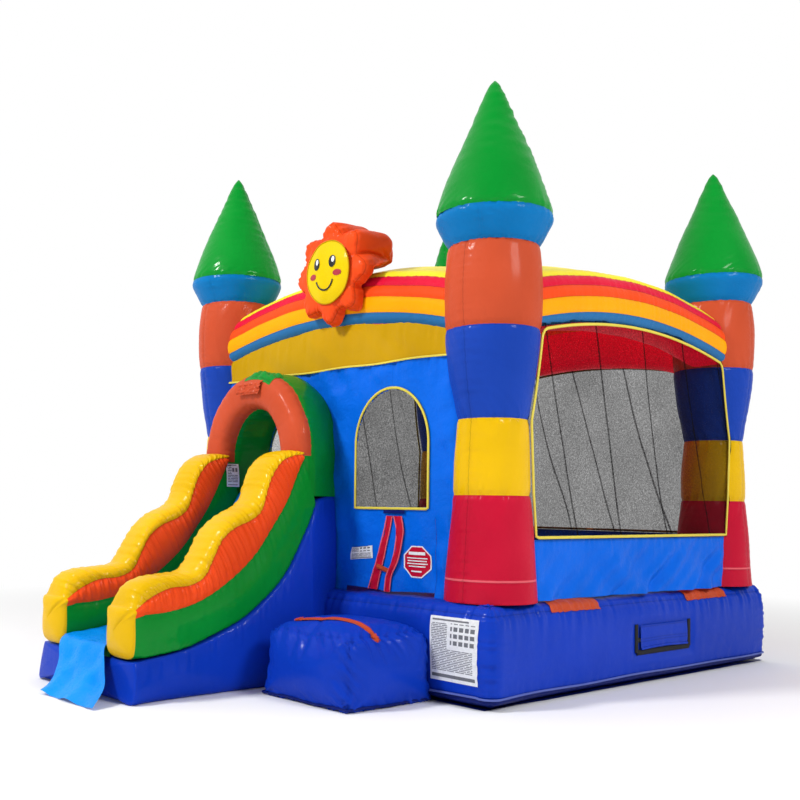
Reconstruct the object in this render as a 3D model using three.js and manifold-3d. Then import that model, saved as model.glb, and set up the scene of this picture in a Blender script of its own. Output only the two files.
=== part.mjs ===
// An inflatable bounce house: a blue base, four towers with cone tops, rainbow arch beams, fabric and
// mesh walls, a walk-in split door, an entry step, and a slide that leaves through an arch in the front
// wall. Millimetres, +Z up. The origin is the middle of the house on the ground; the slide runs to -Y.
import * as THREE from "three";
import { mergeVertices } from "three/addons/utils/BufferGeometryUtils.js";
import Module from "manifold-3d";

const wasm = await Module();
wasm.setup();

// ---- Driving dimensions ------------------------------------------------------------------------
const GAP = 0.5; // between neighbouring pieces
const SKIN = 10; // wall of an air chamber
const FABRIC = 6; // fabric walls and flaps
const PORT = 120; // radius of an air passage between chambers

const base = { halfX: 1635, halfY: 1735, height: 610, corner: 110, bevel: 45, bevelHeight: 100 };
const sheet = { thickness: 6, height: 60 };
const floorThickness = 28;

const tower = { offset: 1375, foot: 612, sides: 20 };
const towerOutline = [
  [286, 612], [270, 860], [238, 1280], [220, 1750], [262, 2040], [296, 2320], [302, 2580], [285, 2848],
]; // radius, height: a wide foot, a waist, and a wide head
const collarTop = { radius: 367, height: 3047 };
const towerTip = 3930;

const wallPlane = 1570; // from the middle of the house to the fabric walls
const wallFoot = 645;
const windowSill = 1000;
const arch = { low: 2475, height: 380, radius: 4760, outer: 1600, inner: 1240, bevel: 40 };
const yellowPanelFoot = 2172;
const trimWidth = 26;

const roofThickness = 12;
const roofLift = 14; // over the beams
const roofHalf = 1560;

const frontWindow = { middle: 676, half: 348, sill: 1183, spring: 1600, top: 1995 };
const door = { left: 262, right: 1085, split: 704, top: 1130 };
const doorway = { middle: -335, half: 310, sill: 1275, spring: 1580, top: 1890 };

const slide = { left: -910, right: 240, wall: 280, front: -3270, back: -1585, platform: 1260, seam: 1380 };
const bedThickness = 60;
const coverThickness = 5;
const tunnel = { half: 565, spring: 1580, top: 2130, front: -1905, faceFront: -2000, faceFoot: 1575 };

const step = { left: 405, right: 1180, front: -2390, height: 500, bevel: 60 };
const sun = { x: 150, z: 2835, body: 265, ray: 365, rays: 8, front: -1705, back: -1300, face: 240 };
const vent = { middle: 198, width: 716, low: 200, high: 410, tape: 32 };
const tube = { x: -900, z: 240, radius: 105, wall: 5, length: 620 };
const anchor = { x: 1150, z: 210, plate: 110, loop: 18, bar: 7, ring: 66, drop: 58 };

// ---- Helpers -----------------------------------------------------------------------------------
const group = new THREE.Group();

const paint = (color, roughness = 0.45, metalness = 0) =>
  new THREE.MeshStandardMaterial({ color, roughness, metalness });
const colours = {
  red: paint(0xc4122f), yellow: paint(0xf2c500), blue: paint(0x1c36b8), orange: paint(0xdd5526),
  skyBlue: paint(0x0a74d8), tealBlue: paint(0x1272b8), green: paint(0x0f9a33), navy: paint(0x0a1650),
  scarlet: paint(0xf0401a), mesh: paint(0x3a3a3c, 0.9), black: paint(0x151515, 0.9),
  white: paint(0xe8ecef, 0.6), cyan: paint(0x12a4f0, 0.3), steel: paint(0xb8bcc0, 0.3, 1),
};

function add(name, geometry, material, turn = 0) {
  const mesh = new THREE.Mesh(geometry, material);
  mesh.name = name;
  mesh.rotation.z = turn;
  group.add(mesh);
  return mesh;
}

// A closed geometry as a manifold-3d solid, and back again.
function solid(geometry) {
  const bare = new THREE.BufferGeometry().setAttribute("position", geometry.getAttribute("position"));
  if (geometry.index) bare.setIndex(geometry.index);
  const merged = mergeVertices(bare, 1e-3);
  return new wasm.Manifold(
    new wasm.Mesh({
      numProp: 3,
      vertProperties: merged.attributes.position.array,
      triVerts: new Uint32Array(merged.index.array),
    }),
  );
}
function geometryOf(manifold) {
  const mesh = manifold.getMesh();
  return new THREE.BufferGeometry()
    .setAttribute("position", new THREE.BufferAttribute(mesh.vertProperties, 3))
    .setIndex(new THREE.BufferAttribute(mesh.triVerts, 1));
}

// A solid turned from [radius, height] points about a vertical axis through (x, y).
function turned(points, x = 0, y = 0, sides = tower.sides) {
  const outline = points.map(([r, z]) => new THREE.Vector2(r, z));
  return new THREE.LatheGeometry(outline, sides).rotateX(Math.PI / 2).translate(x, y, 0);
}

// A box from its lowest to its highest corner.
function block(x0, x1, y0, y1, z0, z1) {
  return new THREE.BoxGeometry(x1 - x0, y1 - y0, z1 - z0).translate((x0 + x1) / 2, (y0 + y1) / 2, (z0 + z1) / 2);
}

// A round bar along an axis, for an air passage.
function bar(axis, radius, length, x, y, z, sides = 12) {
  const made = new THREE.CylinderGeometry(radius, radius, length, sides);
  if (axis === "x") made.rotateZ(Math.PI / 2);
  if (axis === "z") made.rotateX(Math.PI / 2);
  return made.translate(x, y, z);
}

// A shape drawn in the front wall's plane (x, height), from y = outer back to y = inner.
function facing(shape, outer, inner, options = {}) {
  const bevel = options.bevelThickness ?? 0;
  const depth = Math.abs(outer - inner) - 2 * bevel;
  const settings = { depth, bevelEnabled: bevel > 0, curveSegments: 12, ...options };
  return new THREE.ExtrudeGeometry(shape, settings).rotateX(Math.PI / 2).translate(0, inner - bevel, 0);
}

// A shape drawn in the slide's side view (y, height), from x = left to x = right.
function sideways(shape, left, right, bevel = 0) {
  const settings = {
    depth: right - left - 2 * bevel, bevelEnabled: bevel > 0, bevelThickness: bevel, bevelSize: bevel,
    bevelOffset: -bevel, bevelSegments: 2, curveSegments: 8,
  };
  const turn = new THREE.Matrix4().makeBasis(
    new THREE.Vector3(0, 1, 0), new THREE.Vector3(0, 0, 1), new THREE.Vector3(1, 0, 0),
  );
  return new THREE.ExtrudeGeometry(shape, settings).applyMatrix4(turn).translate(left + bevel, 0, 0);
}

const shapeOf = (points) => new THREE.Shape(points.map(([a, b]) => new THREE.Vector2(a, b)));

// A doorway's or window's outline: straight sides under half an ellipse.
function arched(opening, inset = 0, path = new THREE.Shape()) {
  const { middle, half, sill, spring, top } = opening;
  const h = half - inset;
  path.moveTo(middle - h, sill + inset);
  path.lineTo(middle + h, sill + inset);
  path.lineTo(middle + h, spring);
  path.absellipse(middle, spring, h, top - inset - spring, 0, Math.PI, false);
  path.lineTo(middle - h, sill + inset);
  return path;
}

// The flat region of a wall between height foot and the arch line, drop below it.
function underArch(foot, drop, half) {
  const centre = arch.low - arch.radius;
  const radius = arch.radius - drop;
  const angle = Math.asin(half / radius);
  const shape = new THREE.Shape();
  shape.moveTo(-half, foot);
  shape.lineTo(half, foot);
  shape.absarc(0, centre, radius, Math.PI / 2 - angle, Math.PI / 2 + angle, false);
  shape.lineTo(-half, foot);
  return shape;
}

// The two towers beside the front wall as solids, grown by a clearance, to cut its pieces.
function towerCutter(clearance) {
  const grown = towerOutline.map(([r, z]) => [r + clearance, z]);
  const outline = [[0, 500], [286 + clearance, 500], ...grown, [285 + clearance, 3300], [0, 3300]];
  const half = [-1, 1].map((side) => solid(turned(outline, side * tower.offset, -tower.offset)));
  return half[0].add(half[1]);
}
const betweenTowers = (geometry, clearance = 2) => geometryOf(solid(geometry).subtract(towerCutter(clearance)));

// ---- Base --------------------------------------------------------------------------------------
function roundedRectangle(halfX, halfY, corner) {
  const shape = new THREE.Shape();
  shape.moveTo(-halfX + corner, -halfY);
  shape.lineTo(halfX - corner, -halfY);
  shape.absarc(halfX - corner, -halfY + corner, corner, -Math.PI / 2, 0, false);
  shape.absarc(halfX - corner, halfY - corner, corner, 0, Math.PI / 2, false);
  shape.absarc(-halfX + corner, halfY - corner, corner, Math.PI / 2, Math.PI, false);
  shape.absarc(-halfX + corner, -halfY + corner, corner, Math.PI, 1.5 * Math.PI, false);
  return shape;
}
function baseBlock(grow = 0) {
  const outline = roundedRectangle(base.halfX + grow, base.halfY + grow, base.corner);
  const foot = sheet.thickness + GAP - grow;
  return new THREE.ExtrudeGeometry(outline, {
    depth: base.height - foot - 2 * base.bevelHeight, bevelThickness: base.bevelHeight,
    bevelSize: base.bevel, bevelOffset: -base.bevel, bevelSegments: 2, curveSegments: 2,
  }).translate(0, 0, foot + base.bevelHeight);
}
function baseChamber() {
  const inset = base.bevel + SKIN;
  const air = block(
    -base.halfX + inset, base.halfX - inset, -base.halfY + inset, base.halfY - inset,
    sheet.thickness + SKIN, base.height - SKIN,
  );
  let body = solid(baseBlock()).subtract(solid(air));
  for (const x of [-tower.offset, tower.offset])
    for (const y of [-tower.offset, tower.offset])
      body = body.subtract(solid(bar("z", PORT, 80, x, y, base.height)));
  const slideMiddle = (slide.left + slide.right) / 2;
  const stepMiddle = (step.left + step.right) / 2;
  for (const x of [slideMiddle, stepMiddle])
    body = body.subtract(solid(bar("y", 80, 260, x, -base.halfY, 300)));
  body = body.subtract(solid(bar("y", tube.radius - 2 * tube.wall, 260, tube.x, base.halfY, tube.z)));
  return geometryOf(body);
}
add("base_chamber", baseChamber(), colours.blue);

const sheetOutline = roundedRectangle(base.halfX - 12, base.halfY - 12, base.corner);
const sheetBlock = new THREE.ExtrudeGeometry(sheetOutline, {
  depth: sheet.height, bevelEnabled: false, curveSegments: 2,
});
add("ground_sheet", geometryOf(solid(sheetBlock).subtract(solid(baseBlock(GAP)))), colours.navy);

const floorHalf = wallPlane - 12;
const floorCorner = floorHalf - (tower.offset - 320); // keeps clear of the towers' feet
const floorLoop = [];
for (const [sx, sy] of [[1, -1], [1, 1], [-1, 1], [-1, -1]]) {
  const long = [sx * floorHalf, sy * (floorHalf - floorCorner)];
  const inner = [sx * (floorHalf - floorCorner), sy * (floorHalf - floorCorner)];
  const wide = [sx * (floorHalf - floorCorner), sy * floorHalf];
  floorLoop.push(...(sx * sy < 0 ? [wide, inner, long] : [long, inner, wide]));
}
const floorMat = new THREE.ExtrudeGeometry(shapeOf(floorLoop), { depth: floorThickness, bevelEnabled: false });
add("jump_floor", floorMat.translate(0, 0, base.height + GAP), colours.skyBlue);

// ---- Towers ------------------------------------------------------------------------------------
const shaftTop = towerOutline.at(-1)[1];
const shaftOuter = [[PORT, tower.foot], ...towerOutline, [PORT, shaftTop]];
const shaftInner = [
  [PORT, shaftTop - SKIN], ...towerOutline.slice(1, -1).reverse().map(([r, z]) => [r - SKIN, z]),
  [towerOutline[0][0] - SKIN, tower.foot + SKIN], [PORT, tower.foot + SKIN],
];
shaftInner.splice(1, 0, [towerOutline.at(-1)[0] - SKIN, shaftTop - SKIN]);
const collarFoot = shaftTop + GAP;
const collarLoop = [
  [PORT, collarFoot], [286, collarFoot], [collarTop.radius + 2, 3015], [collarTop.radius, collarTop.height],
  [PORT, collarTop.height], [PORT, collarTop.height - SKIN], [collarTop.radius - SKIN, collarTop.height - SKIN],
  [276, collarFoot + SKIN], [PORT, collarFoot + SKIN],
];
const coneFoot = collarTop.height + GAP;
const coneLine = [
  [PORT, coneFoot + SKIN], [PORT, coneFoot], [collarTop.radius, coneFoot], [collarTop.radius - 6, coneFoot + 22],
];
const close = (loop) => [...loop, loop[0]];
const towers = { front_left: [-1, -1], front_right: [1, -1], back_right: [1, 1], back_left: [-1, 1] };
for (const [place, [sx, sy]] of Object.entries(towers)) {
  const [x, y] = [sx * tower.offset, sy * tower.offset];
  add(`tower_${place}_shaft`, turned(close([...shaftOuter, ...shaftInner]), x, y), colours.red);
  add(`tower_${place}_collar`, turned(close(collarLoop), x, y), colours.tealBlue);
  const cone = [[0, towerTip - 2 * SKIN], [collarTop.radius - 2 * SKIN, coneFoot + SKIN], ...coneLine, [0, towerTip]];
  add(`tower_${place}_cone`, turned(cone, x, y), colours.green);
}

// ---- Arch beams, roof, and the walls under them ------------------------------------------------
function archBand(low, high, half, outer, inner, bevel) {
  const centre = arch.low - arch.radius;
  const [a, b] = [arch.radius + low, arch.radius + high];
  const shape = new THREE.Shape();
  shape.absarc(0, centre, a, Math.PI / 2 + Math.asin(half / a), Math.PI / 2 - Math.asin(half / a), true);
  shape.absarc(0, centre, b, Math.PI / 2 - Math.asin(half / b), Math.PI / 2 + Math.asin(half / b), false);
  const rounding = { bevelThickness: bevel, bevelSize: bevel, bevelOffset: -bevel, bevelSegments: 1 };
  return facing(shape, outer, inner, { ...(bevel ? rounding : {}), curveSegments: 10 });
}
const beamAir = archBand(
  SKIN, arch.height - SKIN, 1500, -arch.outer + arch.bevel + SKIN, -arch.inner - arch.bevel - SKIN, 0,
);
const beamBody = solid(archBand(0, arch.height, 1330, -arch.outer, -arch.inner, arch.bevel));
const beam = betweenTowers(geometryOf(beamBody.subtract(solid(beamAir))));

const sides = { front: 0, right: Math.PI / 2, back: Math.PI, left: -Math.PI / 2 };
for (const [side, turn] of Object.entries(sides)) add(`arch_beam_${side}`, beam, colours.orange, turn);

function roofPanel() {
  const sag = (r) => (r * r) / (2 * (arch.radius + arch.height));
  const foot = arch.low + arch.height + sag(roofHalf) + roofLift;
  const reach = roofHalf * Math.SQRT2 + 60;
  const rings = [0, 0.3, 0.55, 0.75, 0.9, 1].map((part) => part * reach);
  const top = rings.map((r) => [r, foot + roofThickness - sag(r)]);
  const under = rings.map((r) => [r, foot - sag(r)]).reverse();
  const shell = solid(turned([...under.reverse(), ...top.reverse()], 0, 0, 32));
  const square = solid(block(-roofHalf, roofHalf, -roofHalf, roofHalf, 0, 4000));
  let roof = shell.intersect(square).subtract(towerCutter(2));
  roof = roof.subtract(towerCutter(2).rotate([0, 0, 180]));
  return geometryOf(roof);
}
add("roof_panel", roofPanel(), colours.red);

const inPlane = (shape, thickness = FABRIC) =>
  facing(shape, -wallPlane - thickness / 2, -wallPlane + thickness / 2);
const wallHalf = 1300;
const skirt = betweenTowers(inPlane(shapeOf([
  [-wallHalf, wallFoot], [wallHalf, wallFoot], [wallHalf, windowSill - GAP], [-wallHalf, windowSill - GAP],
])));
function windowNet(inset) {
  const net = underArch(windowSill + inset, inset + 2, wallHalf);
  return solid(inPlane(net, inset > trimWidth ? 3 : FABRIC)).subtract(towerCutter(2 + inset));
}
const sideTrim = geometryOf(windowNet(0).subtract(windowNet(trimWidth)));
const sideNet = geometryOf(windowNet(trimWidth + GAP));
for (const side of ["right", "back", "left"]) {
  add(`wall_skirt_${side}`, skirt, colours.skyBlue, sides[side]);
  add(`window_trim_${side}`, sideTrim, colours.yellow, sides[side]);
  add(`window_net_${side}`, sideNet, colours.mesh, sides[side]);
}

const upperPanel = betweenTowers(inPlane(underArch(yellowPanelFoot, 2, wallHalf)));
add("front_panel_yellow", upperPanel, colours.yellow);

const lowerShape = shapeOf([
  [-wallHalf, wallFoot], [door.left, wallFoot], [door.left, door.top], [door.right, door.top],
  [door.right, wallFoot], [wallHalf, wallFoot], [wallHalf, yellowPanelFoot - GAP], [-wallHalf, yellowPanelFoot - GAP],
]);
lowerShape.holes.push(arched(frontWindow, 0, new THREE.Path()), arched(doorway, 0, new THREE.Path()));
add("front_panel_blue", betweenTowers(inPlane(lowerShape)), colours.skyBlue);

const windowBinding = arched(frontWindow, GAP);
windowBinding.holes.push(arched(frontWindow, trimWidth, new THREE.Path()));
add("window_trim_front", inPlane(windowBinding), colours.yellow);
add("window_net_front", inPlane(arched(frontWindow, trimWidth + GAP), 3), colours.mesh);

// The walk-in door: two soft halves that part at a slit under the window.
const doorSlack = 3;
const flapShape = (x0, x1) =>
  shapeOf([[x0, wallFoot + doorSlack], [x1, wallFoot + doorSlack], [x1, door.top - doorSlack], [x0, door.top - doorSlack]]);
const leftFlap = flapShape(door.left + doorSlack, door.split - doorSlack);
const rightFlap = flapShape(door.split + doorSlack, door.right - doorSlack);
add("door_flap_left", inPlane(leftFlap), colours.skyBlue);
add("door_flap_right", inPlane(rightFlap), colours.skyBlue);

// ---- Slide -------------------------------------------------------------------------------------
const spline = (points, count) =>
  new THREE.SplineCurve(points.map(([y, z]) => new THREE.Vector2(y, z))).getPoints(count).map((p) => [p.x, p.y]);
// Lines seen from the side, from the foot of the slide up to the arch.
const baseLine = spline([[-3270, 260], [-2870, 315], [-2500, 452], [-2270, 600], [-2090, 776], [-1945, 1010], [-1830, 1260]], 12);
const wallLine = spline([[-3270, 522], [-3020, 540], [-2790, 596], [-2568, 713], [-2396, 850], [-2240, 1036], [-2100, 1247], [-2045, 1380]], 12);
const ridgeLine = spline([
  [-3290, 560], [-3245, 680], [-3125, 738], [-2960, 760], [-2835, 778], [-2745, 890], [-2655, 1032], [-2540, 1127],
  [-2400, 1192], [-2325, 1275], [-2285, 1375], [-2225, 1490], [-2120, 1550], [-1995, 1570],
], 30);
const shifted = (line, dz) => line.map(([y, z]) => [y, z + dz]);

// Moves a line sideways along its own normals, to the left of its direction.
function offset(line, distance) {
  return line.map(([y, z], i) => {
    const [a, b] = [line[Math.max(i - 1, 0)], line[Math.min(i + 1, line.length - 1)]];
    const length = Math.hypot(b[0] - a[0], b[1] - a[1]);
    return [y - (distance * (b[1] - a[1])) / length, z + (distance * (b[0] - a[0])) / length];
  });
}

const baseFace = -base.halfY - 5; // the slide and the step stop here, in front of the base
const laneLeft = slide.left + slide.wall;
const laneRight = slide.right - slide.wall;
const slideFoot = shapeOf([
  [slide.front, 0], [baseFace, 0], [baseFace, 640], [slide.back, 640], [slide.back, slide.platform],
  ...[...baseLine].reverse(),
]);
const slideAir = shapeOf([
  [slide.front + 2 * SKIN, SKIN], [baseFace - SKIN, SKIN], [baseFace - SKIN, 660], [slide.back - SKIN, 660],
  [slide.back - SKIN, slide.platform - SKIN], ...offset(baseLine, -2 * SKIN).slice(1, -1).reverse(),
]);
const slidePort = bar("y", 80, 60, (slide.left + slide.right) / 2, baseFace, 300);
const slideShell = solid(sideways(slideFoot, slide.left, slide.right))
  .subtract(solid(sideways(slideAir, slide.left + SKIN, slide.right - SKIN)))
  .subtract(solid(slidePort));
add("slide_base", geometryOf(slideShell), colours.blue);

const lift = 1.5; // keeps stacked pieces apart where the lines are steep
const sideWall = shapeOf([
  ...shifted(baseLine, lift), [slide.back, slide.platform + lift], [slide.back, slide.seam],
  ...[...wallLine].reverse(),
]);
const bumperBack = tunnel.front - 8;
const bumper = shapeOf([
  ...shifted(wallLine, lift), [bumperBack, slide.seam + lift], [bumperBack, 1572], ...[...ridgeLine].reverse(),
]);
const walls = { left: [slide.left, laneLeft], right: [laneRight, slide.right] };
for (const [side, [x0, x1]] of Object.entries(walls)) {
  add(`slide_wall_${side}`, sideways(sideWall, x0, x1), colours.green);
  add(`slide_bumper_${side}`, sideways(bumper, x0, x1), colours.yellow);
}

// The bed is the padded lane on the slide base; the slip cover lies on it and hangs off its lip.
const laneLine = [...shifted(baseLine, lift), [-1770, 1268], [slide.back, 1270]];
const bedTop = offset(laneLine, bedThickness);
bedTop[0] = [slide.front, bedTop[0][1]];
bedTop[bedTop.length - 1] = [slide.back, bedTop.at(-1)[1]];
const strip = (low, high) => shapeOf([...low, ...[...high].reverse()]);
add("slide_bed", sideways(strip(laneLine, bedTop), laneLeft + 2, laneRight - 2), colours.green);
const coverLow = offset(bedTop, lift);
const coverTop = offset(coverLow, coverThickness);
add("slip_cover", sideways(strip(coverLow, coverTop), laneLeft + 8, laneRight - 8), colours.cyan);

const lip = { y: slide.front - 18, z: bedTop[0][1] - 4 };
const apronReach = 265;
const apronPull = 270; // the apron is pulled this far to the right where it meets the ground
const apronSlope = apronPull / (lip.z - 6);
const apronOutline = shapeOf([
  [lip.y, lip.z], [lip.y - apronReach, 6], [lip.y - apronReach - FABRIC, 6], [lip.y - FABRIC, lip.z],
]);
const apron = sideways(apronOutline, laneLeft + 8, laneRight - 8);
apron.applyMatrix4(new THREE.Matrix4().makeShear(0, 0, 0, 0, -apronSlope, 0)).translate(apronSlope * lip.z, 0, 0);
add("slip_cover_apron", apron, colours.cyan);

// The arch over the slide's top: a green tunnel with an orange front.
function archRing(foot, front, back) {
  const middle = doorway.middle;
  const outline = new THREE.Shape();
  outline.moveTo(middle - doorway.half, foot);
  outline.lineTo(middle - doorway.half, doorway.spring);
  outline.absellipse(middle, doorway.spring, doorway.half, doorway.top - doorway.spring, Math.PI, 0, true);
  outline.lineTo(middle + doorway.half, foot);
  outline.lineTo(middle + tunnel.half, foot);
  outline.lineTo(middle + tunnel.half, tunnel.spring);
  outline.absellipse(middle, tunnel.spring, tunnel.half, tunnel.top - tunnel.spring, 0, Math.PI, false);
  outline.lineTo(middle - tunnel.half, foot);
  return facing(outline, front, back, { curveSegments: 10 });
}
add("slide_arch_tunnel", archRing(slide.seam + lift, tunnel.front, slide.back), colours.green);
add("slide_arch_front", archRing(tunnel.faceFoot, tunnel.faceFront, tunnel.front - 1), colours.orange);

// A vent flap sewn across the crown of the orange front.
const crown = { width: 250, foot: 1985, head: 2085 };
const crownFlap = shapeOf([
  [doorway.middle - crown.width / 2, crown.foot], [doorway.middle + crown.width / 2, crown.foot],
  [doorway.middle + crown.width / 2, crown.head], [doorway.middle - crown.width / 2, crown.head],
]);
add("arch_vent_flap", facing(crownFlap, tunnel.faceFront - 6, tunnel.faceFront - 1), colours.orange);

// The climb inside the house, up to the slide's platform.
const climb = shapeOf([
  [-1560, wallFoot], [-480, wallFoot], [-500, 760], [-720, 860], [-740, 985], [-960, 1080], [-980, 1190],
  [-1180, 1268], [-1560, 1268],
]);
add("climb_ramp", sideways(climb, doorway.middle - doorway.half, doorway.middle + doorway.half), colours.blue);

// ---- Entry step --------------------------------------------------------------------------------
const stepShape = shapeOf([
  [step.front, 0], [baseFace, 0], [baseFace, step.height], [-2060, step.height], [-2280, step.height - 20],
  [step.front + 20, step.height - 90],
]);
const stepAir = block(
  step.left + step.bevel, step.right - step.bevel, step.front + step.bevel, baseFace - step.bevel,
  step.bevel, step.height - 2 * step.bevel,
);
const stepPort = bar("y", 80, 200, (step.left + step.right) / 2, baseFace, 300);
const stepShell = solid(sideways(stepShape, step.left, step.right, 24))
  .subtract(solid(stepAir))
  .subtract(solid(stepPort));
add("entry_step", geometryOf(stepShell), colours.blue);
const strap = shapeOf([[-2285, step.height - 15], [-2240, step.height - 12], [-2240, step.height - 5], [-2285, step.height - 8]]);
const strapLift = 6.5;
add("step_strap", sideways(strap, step.left + 90, step.right - 90).translate(0, 0, strapLift), colours.orange);

// ---- Sun ---------------------------------------------------------------------------------------
function sunRays() {
  const points = [];
  for (let i = 0; i < 2 * sun.rays; i++) {
    const angle = (i * Math.PI) / sun.rays;
    const radius = i % 2 ? sun.body : sun.ray;
    points.push([sun.x + radius * Math.sin(angle), sun.z + radius * Math.cos(angle)]);
  }
  const star = solid(facing(shapeOf(points.reverse()), sun.front, sun.back));
  const beamTop = arch.low + arch.height + 110;
  const beamSpace = solid(block(-800, 1200, -arch.outer - 4, 0, 2000, beamTop));
  return geometryOf(star.subtract(beamSpace));
}
add("sun_rays", sunRays(), colours.scarlet);
const disc = new THREE.CylinderGeometry(sun.face, sun.face - 12, 26, 28);
add("sun_face", disc.translate(sun.x, sun.front - 14, sun.z), colours.yellow);

// ---- Deflation vent on the right side of the base ----------------------------------------------
const ventFace = base.halfX + GAP;
// A shape drawn on the right side of the base (y, height), from x = near to x = far.
const onRight = (points, near, far) => sideways(shapeOf(points), near, far);
const [v0, v1] = [vent.middle - vent.width / 2, vent.middle + vent.width / 2];
add("vent_hook_tape", onRight([
  [v0, vent.high], [v0, vent.low], [v1, vent.low], [v1, vent.high], [v1 - vent.tape, vent.high],
  [v1 - vent.tape, vent.low + vent.tape], [v0 + vent.tape, vent.low + vent.tape], [v0 + vent.tape, vent.high],
], ventFace, ventFace + 4), colours.black);
const flapLow = vent.low + vent.tape + 4;
const [w0, w1] = [v0 + vent.tape + 6, v1 - vent.tape - 6];
add("vent_flap", onRight([[w0, flapLow], [w1, flapLow], [w1, vent.high - 10], [w0, vent.high - 10]],
  ventFace + 12, ventFace + 12 + FABRIC), colours.blue);
const zipHeight = 300;
add("vent_zip_slider", onRight(
  [[w0 + 20, zipHeight - 11], [w0 + 58, zipHeight - 7], [w0 + 58, zipHeight + 7], [w0 + 20, zipHeight + 11]],
  ventFace, ventFace + 9,
), colours.steel);

// ---- Inflation sleeve and anchors at the back ---------------------------------------------------
const sleeveLoop = [
  [tube.radius - tube.wall, 0], [tube.radius, 0], [tube.radius, tube.length], [tube.radius - tube.wall, tube.length],
];
const sleeve = new THREE.LatheGeometry(close(sleeveLoop).map(([r, z]) => new THREE.Vector2(r, z)), 16);
add("inflation_sleeve", sleeve.translate(tube.x, base.halfY + 8, tube.z), colours.blue);

for (const [side, sign] of [["left", -1], ["right", 1]]) {
  const x = sign * anchor.x;
  const face = base.halfY + GAP;
  const plateHalf = anchor.plate / 2;
  const loopOut = face + 4 + anchor.loop;
  const plate = block(x - plateHalf, x + plateHalf, face, face + 4, anchor.z - plateHalf, anchor.z + plateHalf);
  const knuckle = block(x - 16, x + 16, face + 3, loopOut, anchor.z - 9, anchor.z + 9);
  const barSpace = block(x - 40, x + 40, face + 7, loopOut - 3, anchor.z - 6, anchor.z + 6);
  add(`anchor_tab_${side}`, geometryOf(solid(plate).add(solid(knuckle)).subtract(solid(barSpace))), colours.blue);
  const barY = face + 4 + anchor.loop / 2;
  const half = anchor.ring / 2;
  const ringShape = new THREE.Shape();
  ringShape.moveTo(x - half, anchor.z + anchor.bar / 2);
  ringShape.lineTo(x - half, anchor.z - 20);
  ringShape.absarc(x, anchor.z - 20, half, Math.PI, 2 * Math.PI, false);
  ringShape.lineTo(x + half, anchor.z + anchor.bar / 2);
  const inner = half - anchor.bar;
  const hole = new THREE.Path();
  hole.moveTo(x - inner, anchor.z - anchor.bar / 2);
  hole.lineTo(x - inner, anchor.z - 20);
  hole.absarc(x, anchor.z - 20, inner, Math.PI, 2 * Math.PI, false);
  hole.lineTo(x + inner, anchor.z - anchor.bar / 2);
  ringShape.holes.push(hole);
  const ring = facing(ringShape, barY - anchor.bar / 2, barY + anchor.bar / 2, { curveSegments: 8 });
  add(`anchor_ring_${side}`, ring, colours.steel);
}

// A blank label patch on the front of the base.
const label = shapeOf([[1250, 145], [1570, 145], [1570, 520], [1250, 520]]);
add("blank_label", facing(label, -base.halfY - GAP - 2, -base.halfY - GAP), colours.white);

export default group;
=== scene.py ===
"""The looks of an inflatable bounce house with a slide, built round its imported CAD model, in metres.

+X is the side with the deflation vent, -Y the front with the slide and the door, +Z up. Every inflated
piece is a grid of points that bulges between its seams and puckers along them.
"""

import math

import bmesh
import bpy
import numpy as np
from mathutils import Matrix, Vector
from mathutils.bvhtree import BVHTree


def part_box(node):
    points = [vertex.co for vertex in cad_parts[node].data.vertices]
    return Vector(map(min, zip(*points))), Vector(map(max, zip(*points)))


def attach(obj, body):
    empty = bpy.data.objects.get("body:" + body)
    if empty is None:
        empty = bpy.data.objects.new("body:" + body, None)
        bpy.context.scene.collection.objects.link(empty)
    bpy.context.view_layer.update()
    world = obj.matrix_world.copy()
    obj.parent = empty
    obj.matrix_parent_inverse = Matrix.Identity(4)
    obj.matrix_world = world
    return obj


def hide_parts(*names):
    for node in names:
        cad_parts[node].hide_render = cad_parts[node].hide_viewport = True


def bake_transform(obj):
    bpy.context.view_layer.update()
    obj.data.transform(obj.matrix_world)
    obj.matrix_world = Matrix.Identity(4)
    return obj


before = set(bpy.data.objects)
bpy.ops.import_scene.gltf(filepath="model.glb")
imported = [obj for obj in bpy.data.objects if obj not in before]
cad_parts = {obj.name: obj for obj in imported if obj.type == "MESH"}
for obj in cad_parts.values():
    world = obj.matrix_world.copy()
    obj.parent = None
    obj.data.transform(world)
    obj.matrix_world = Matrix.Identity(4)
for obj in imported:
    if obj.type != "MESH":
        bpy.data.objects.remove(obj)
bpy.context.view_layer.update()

HOUSE = "house"

# ---- Sizes read from the CAD model ---------------------------------------------------------------
SHAFT_LOW, SHAFT_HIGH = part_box("tower_front_right_shaft")
TOWER = (SHAFT_LOW.x + SHAFT_HIGH.x) / 2  # the towers stand this far out along both axes
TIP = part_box("tower_front_right_cone")[1].z
COLLAR_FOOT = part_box("tower_front_right_collar")[0].z
CONE_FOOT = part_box("tower_front_right_cone")[0].z
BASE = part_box("base_chamber")[1]
WALL = (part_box("wall_skirt_right")[0].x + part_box("wall_skirt_right")[1].x) / 2
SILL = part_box("window_trim_right")[0].z
ARCH_LOW, ARCH_HIGH = 2.475, 2.857  # the beam's lower and upper line at mid-span
ARCH_SAG = 0.105  # how fast the beams drop towards the towers, per metre squared
WAIST = [(0.285, 0.612), (0.262, 0.90), (0.237, 1.278), (0.222, 1.748), (0.262, 2.05), (0.295, 2.319),
         (0.300, 2.58), (0.284, 2.847)]  # radius and height of a tower's shaft
SHAFT_SEAMS = (1.278, 1.748, 2.319)
BACK_LEFT_LEAN = (-0.069, -0.082)  # how far the back left tower stands off the square plan


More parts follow.
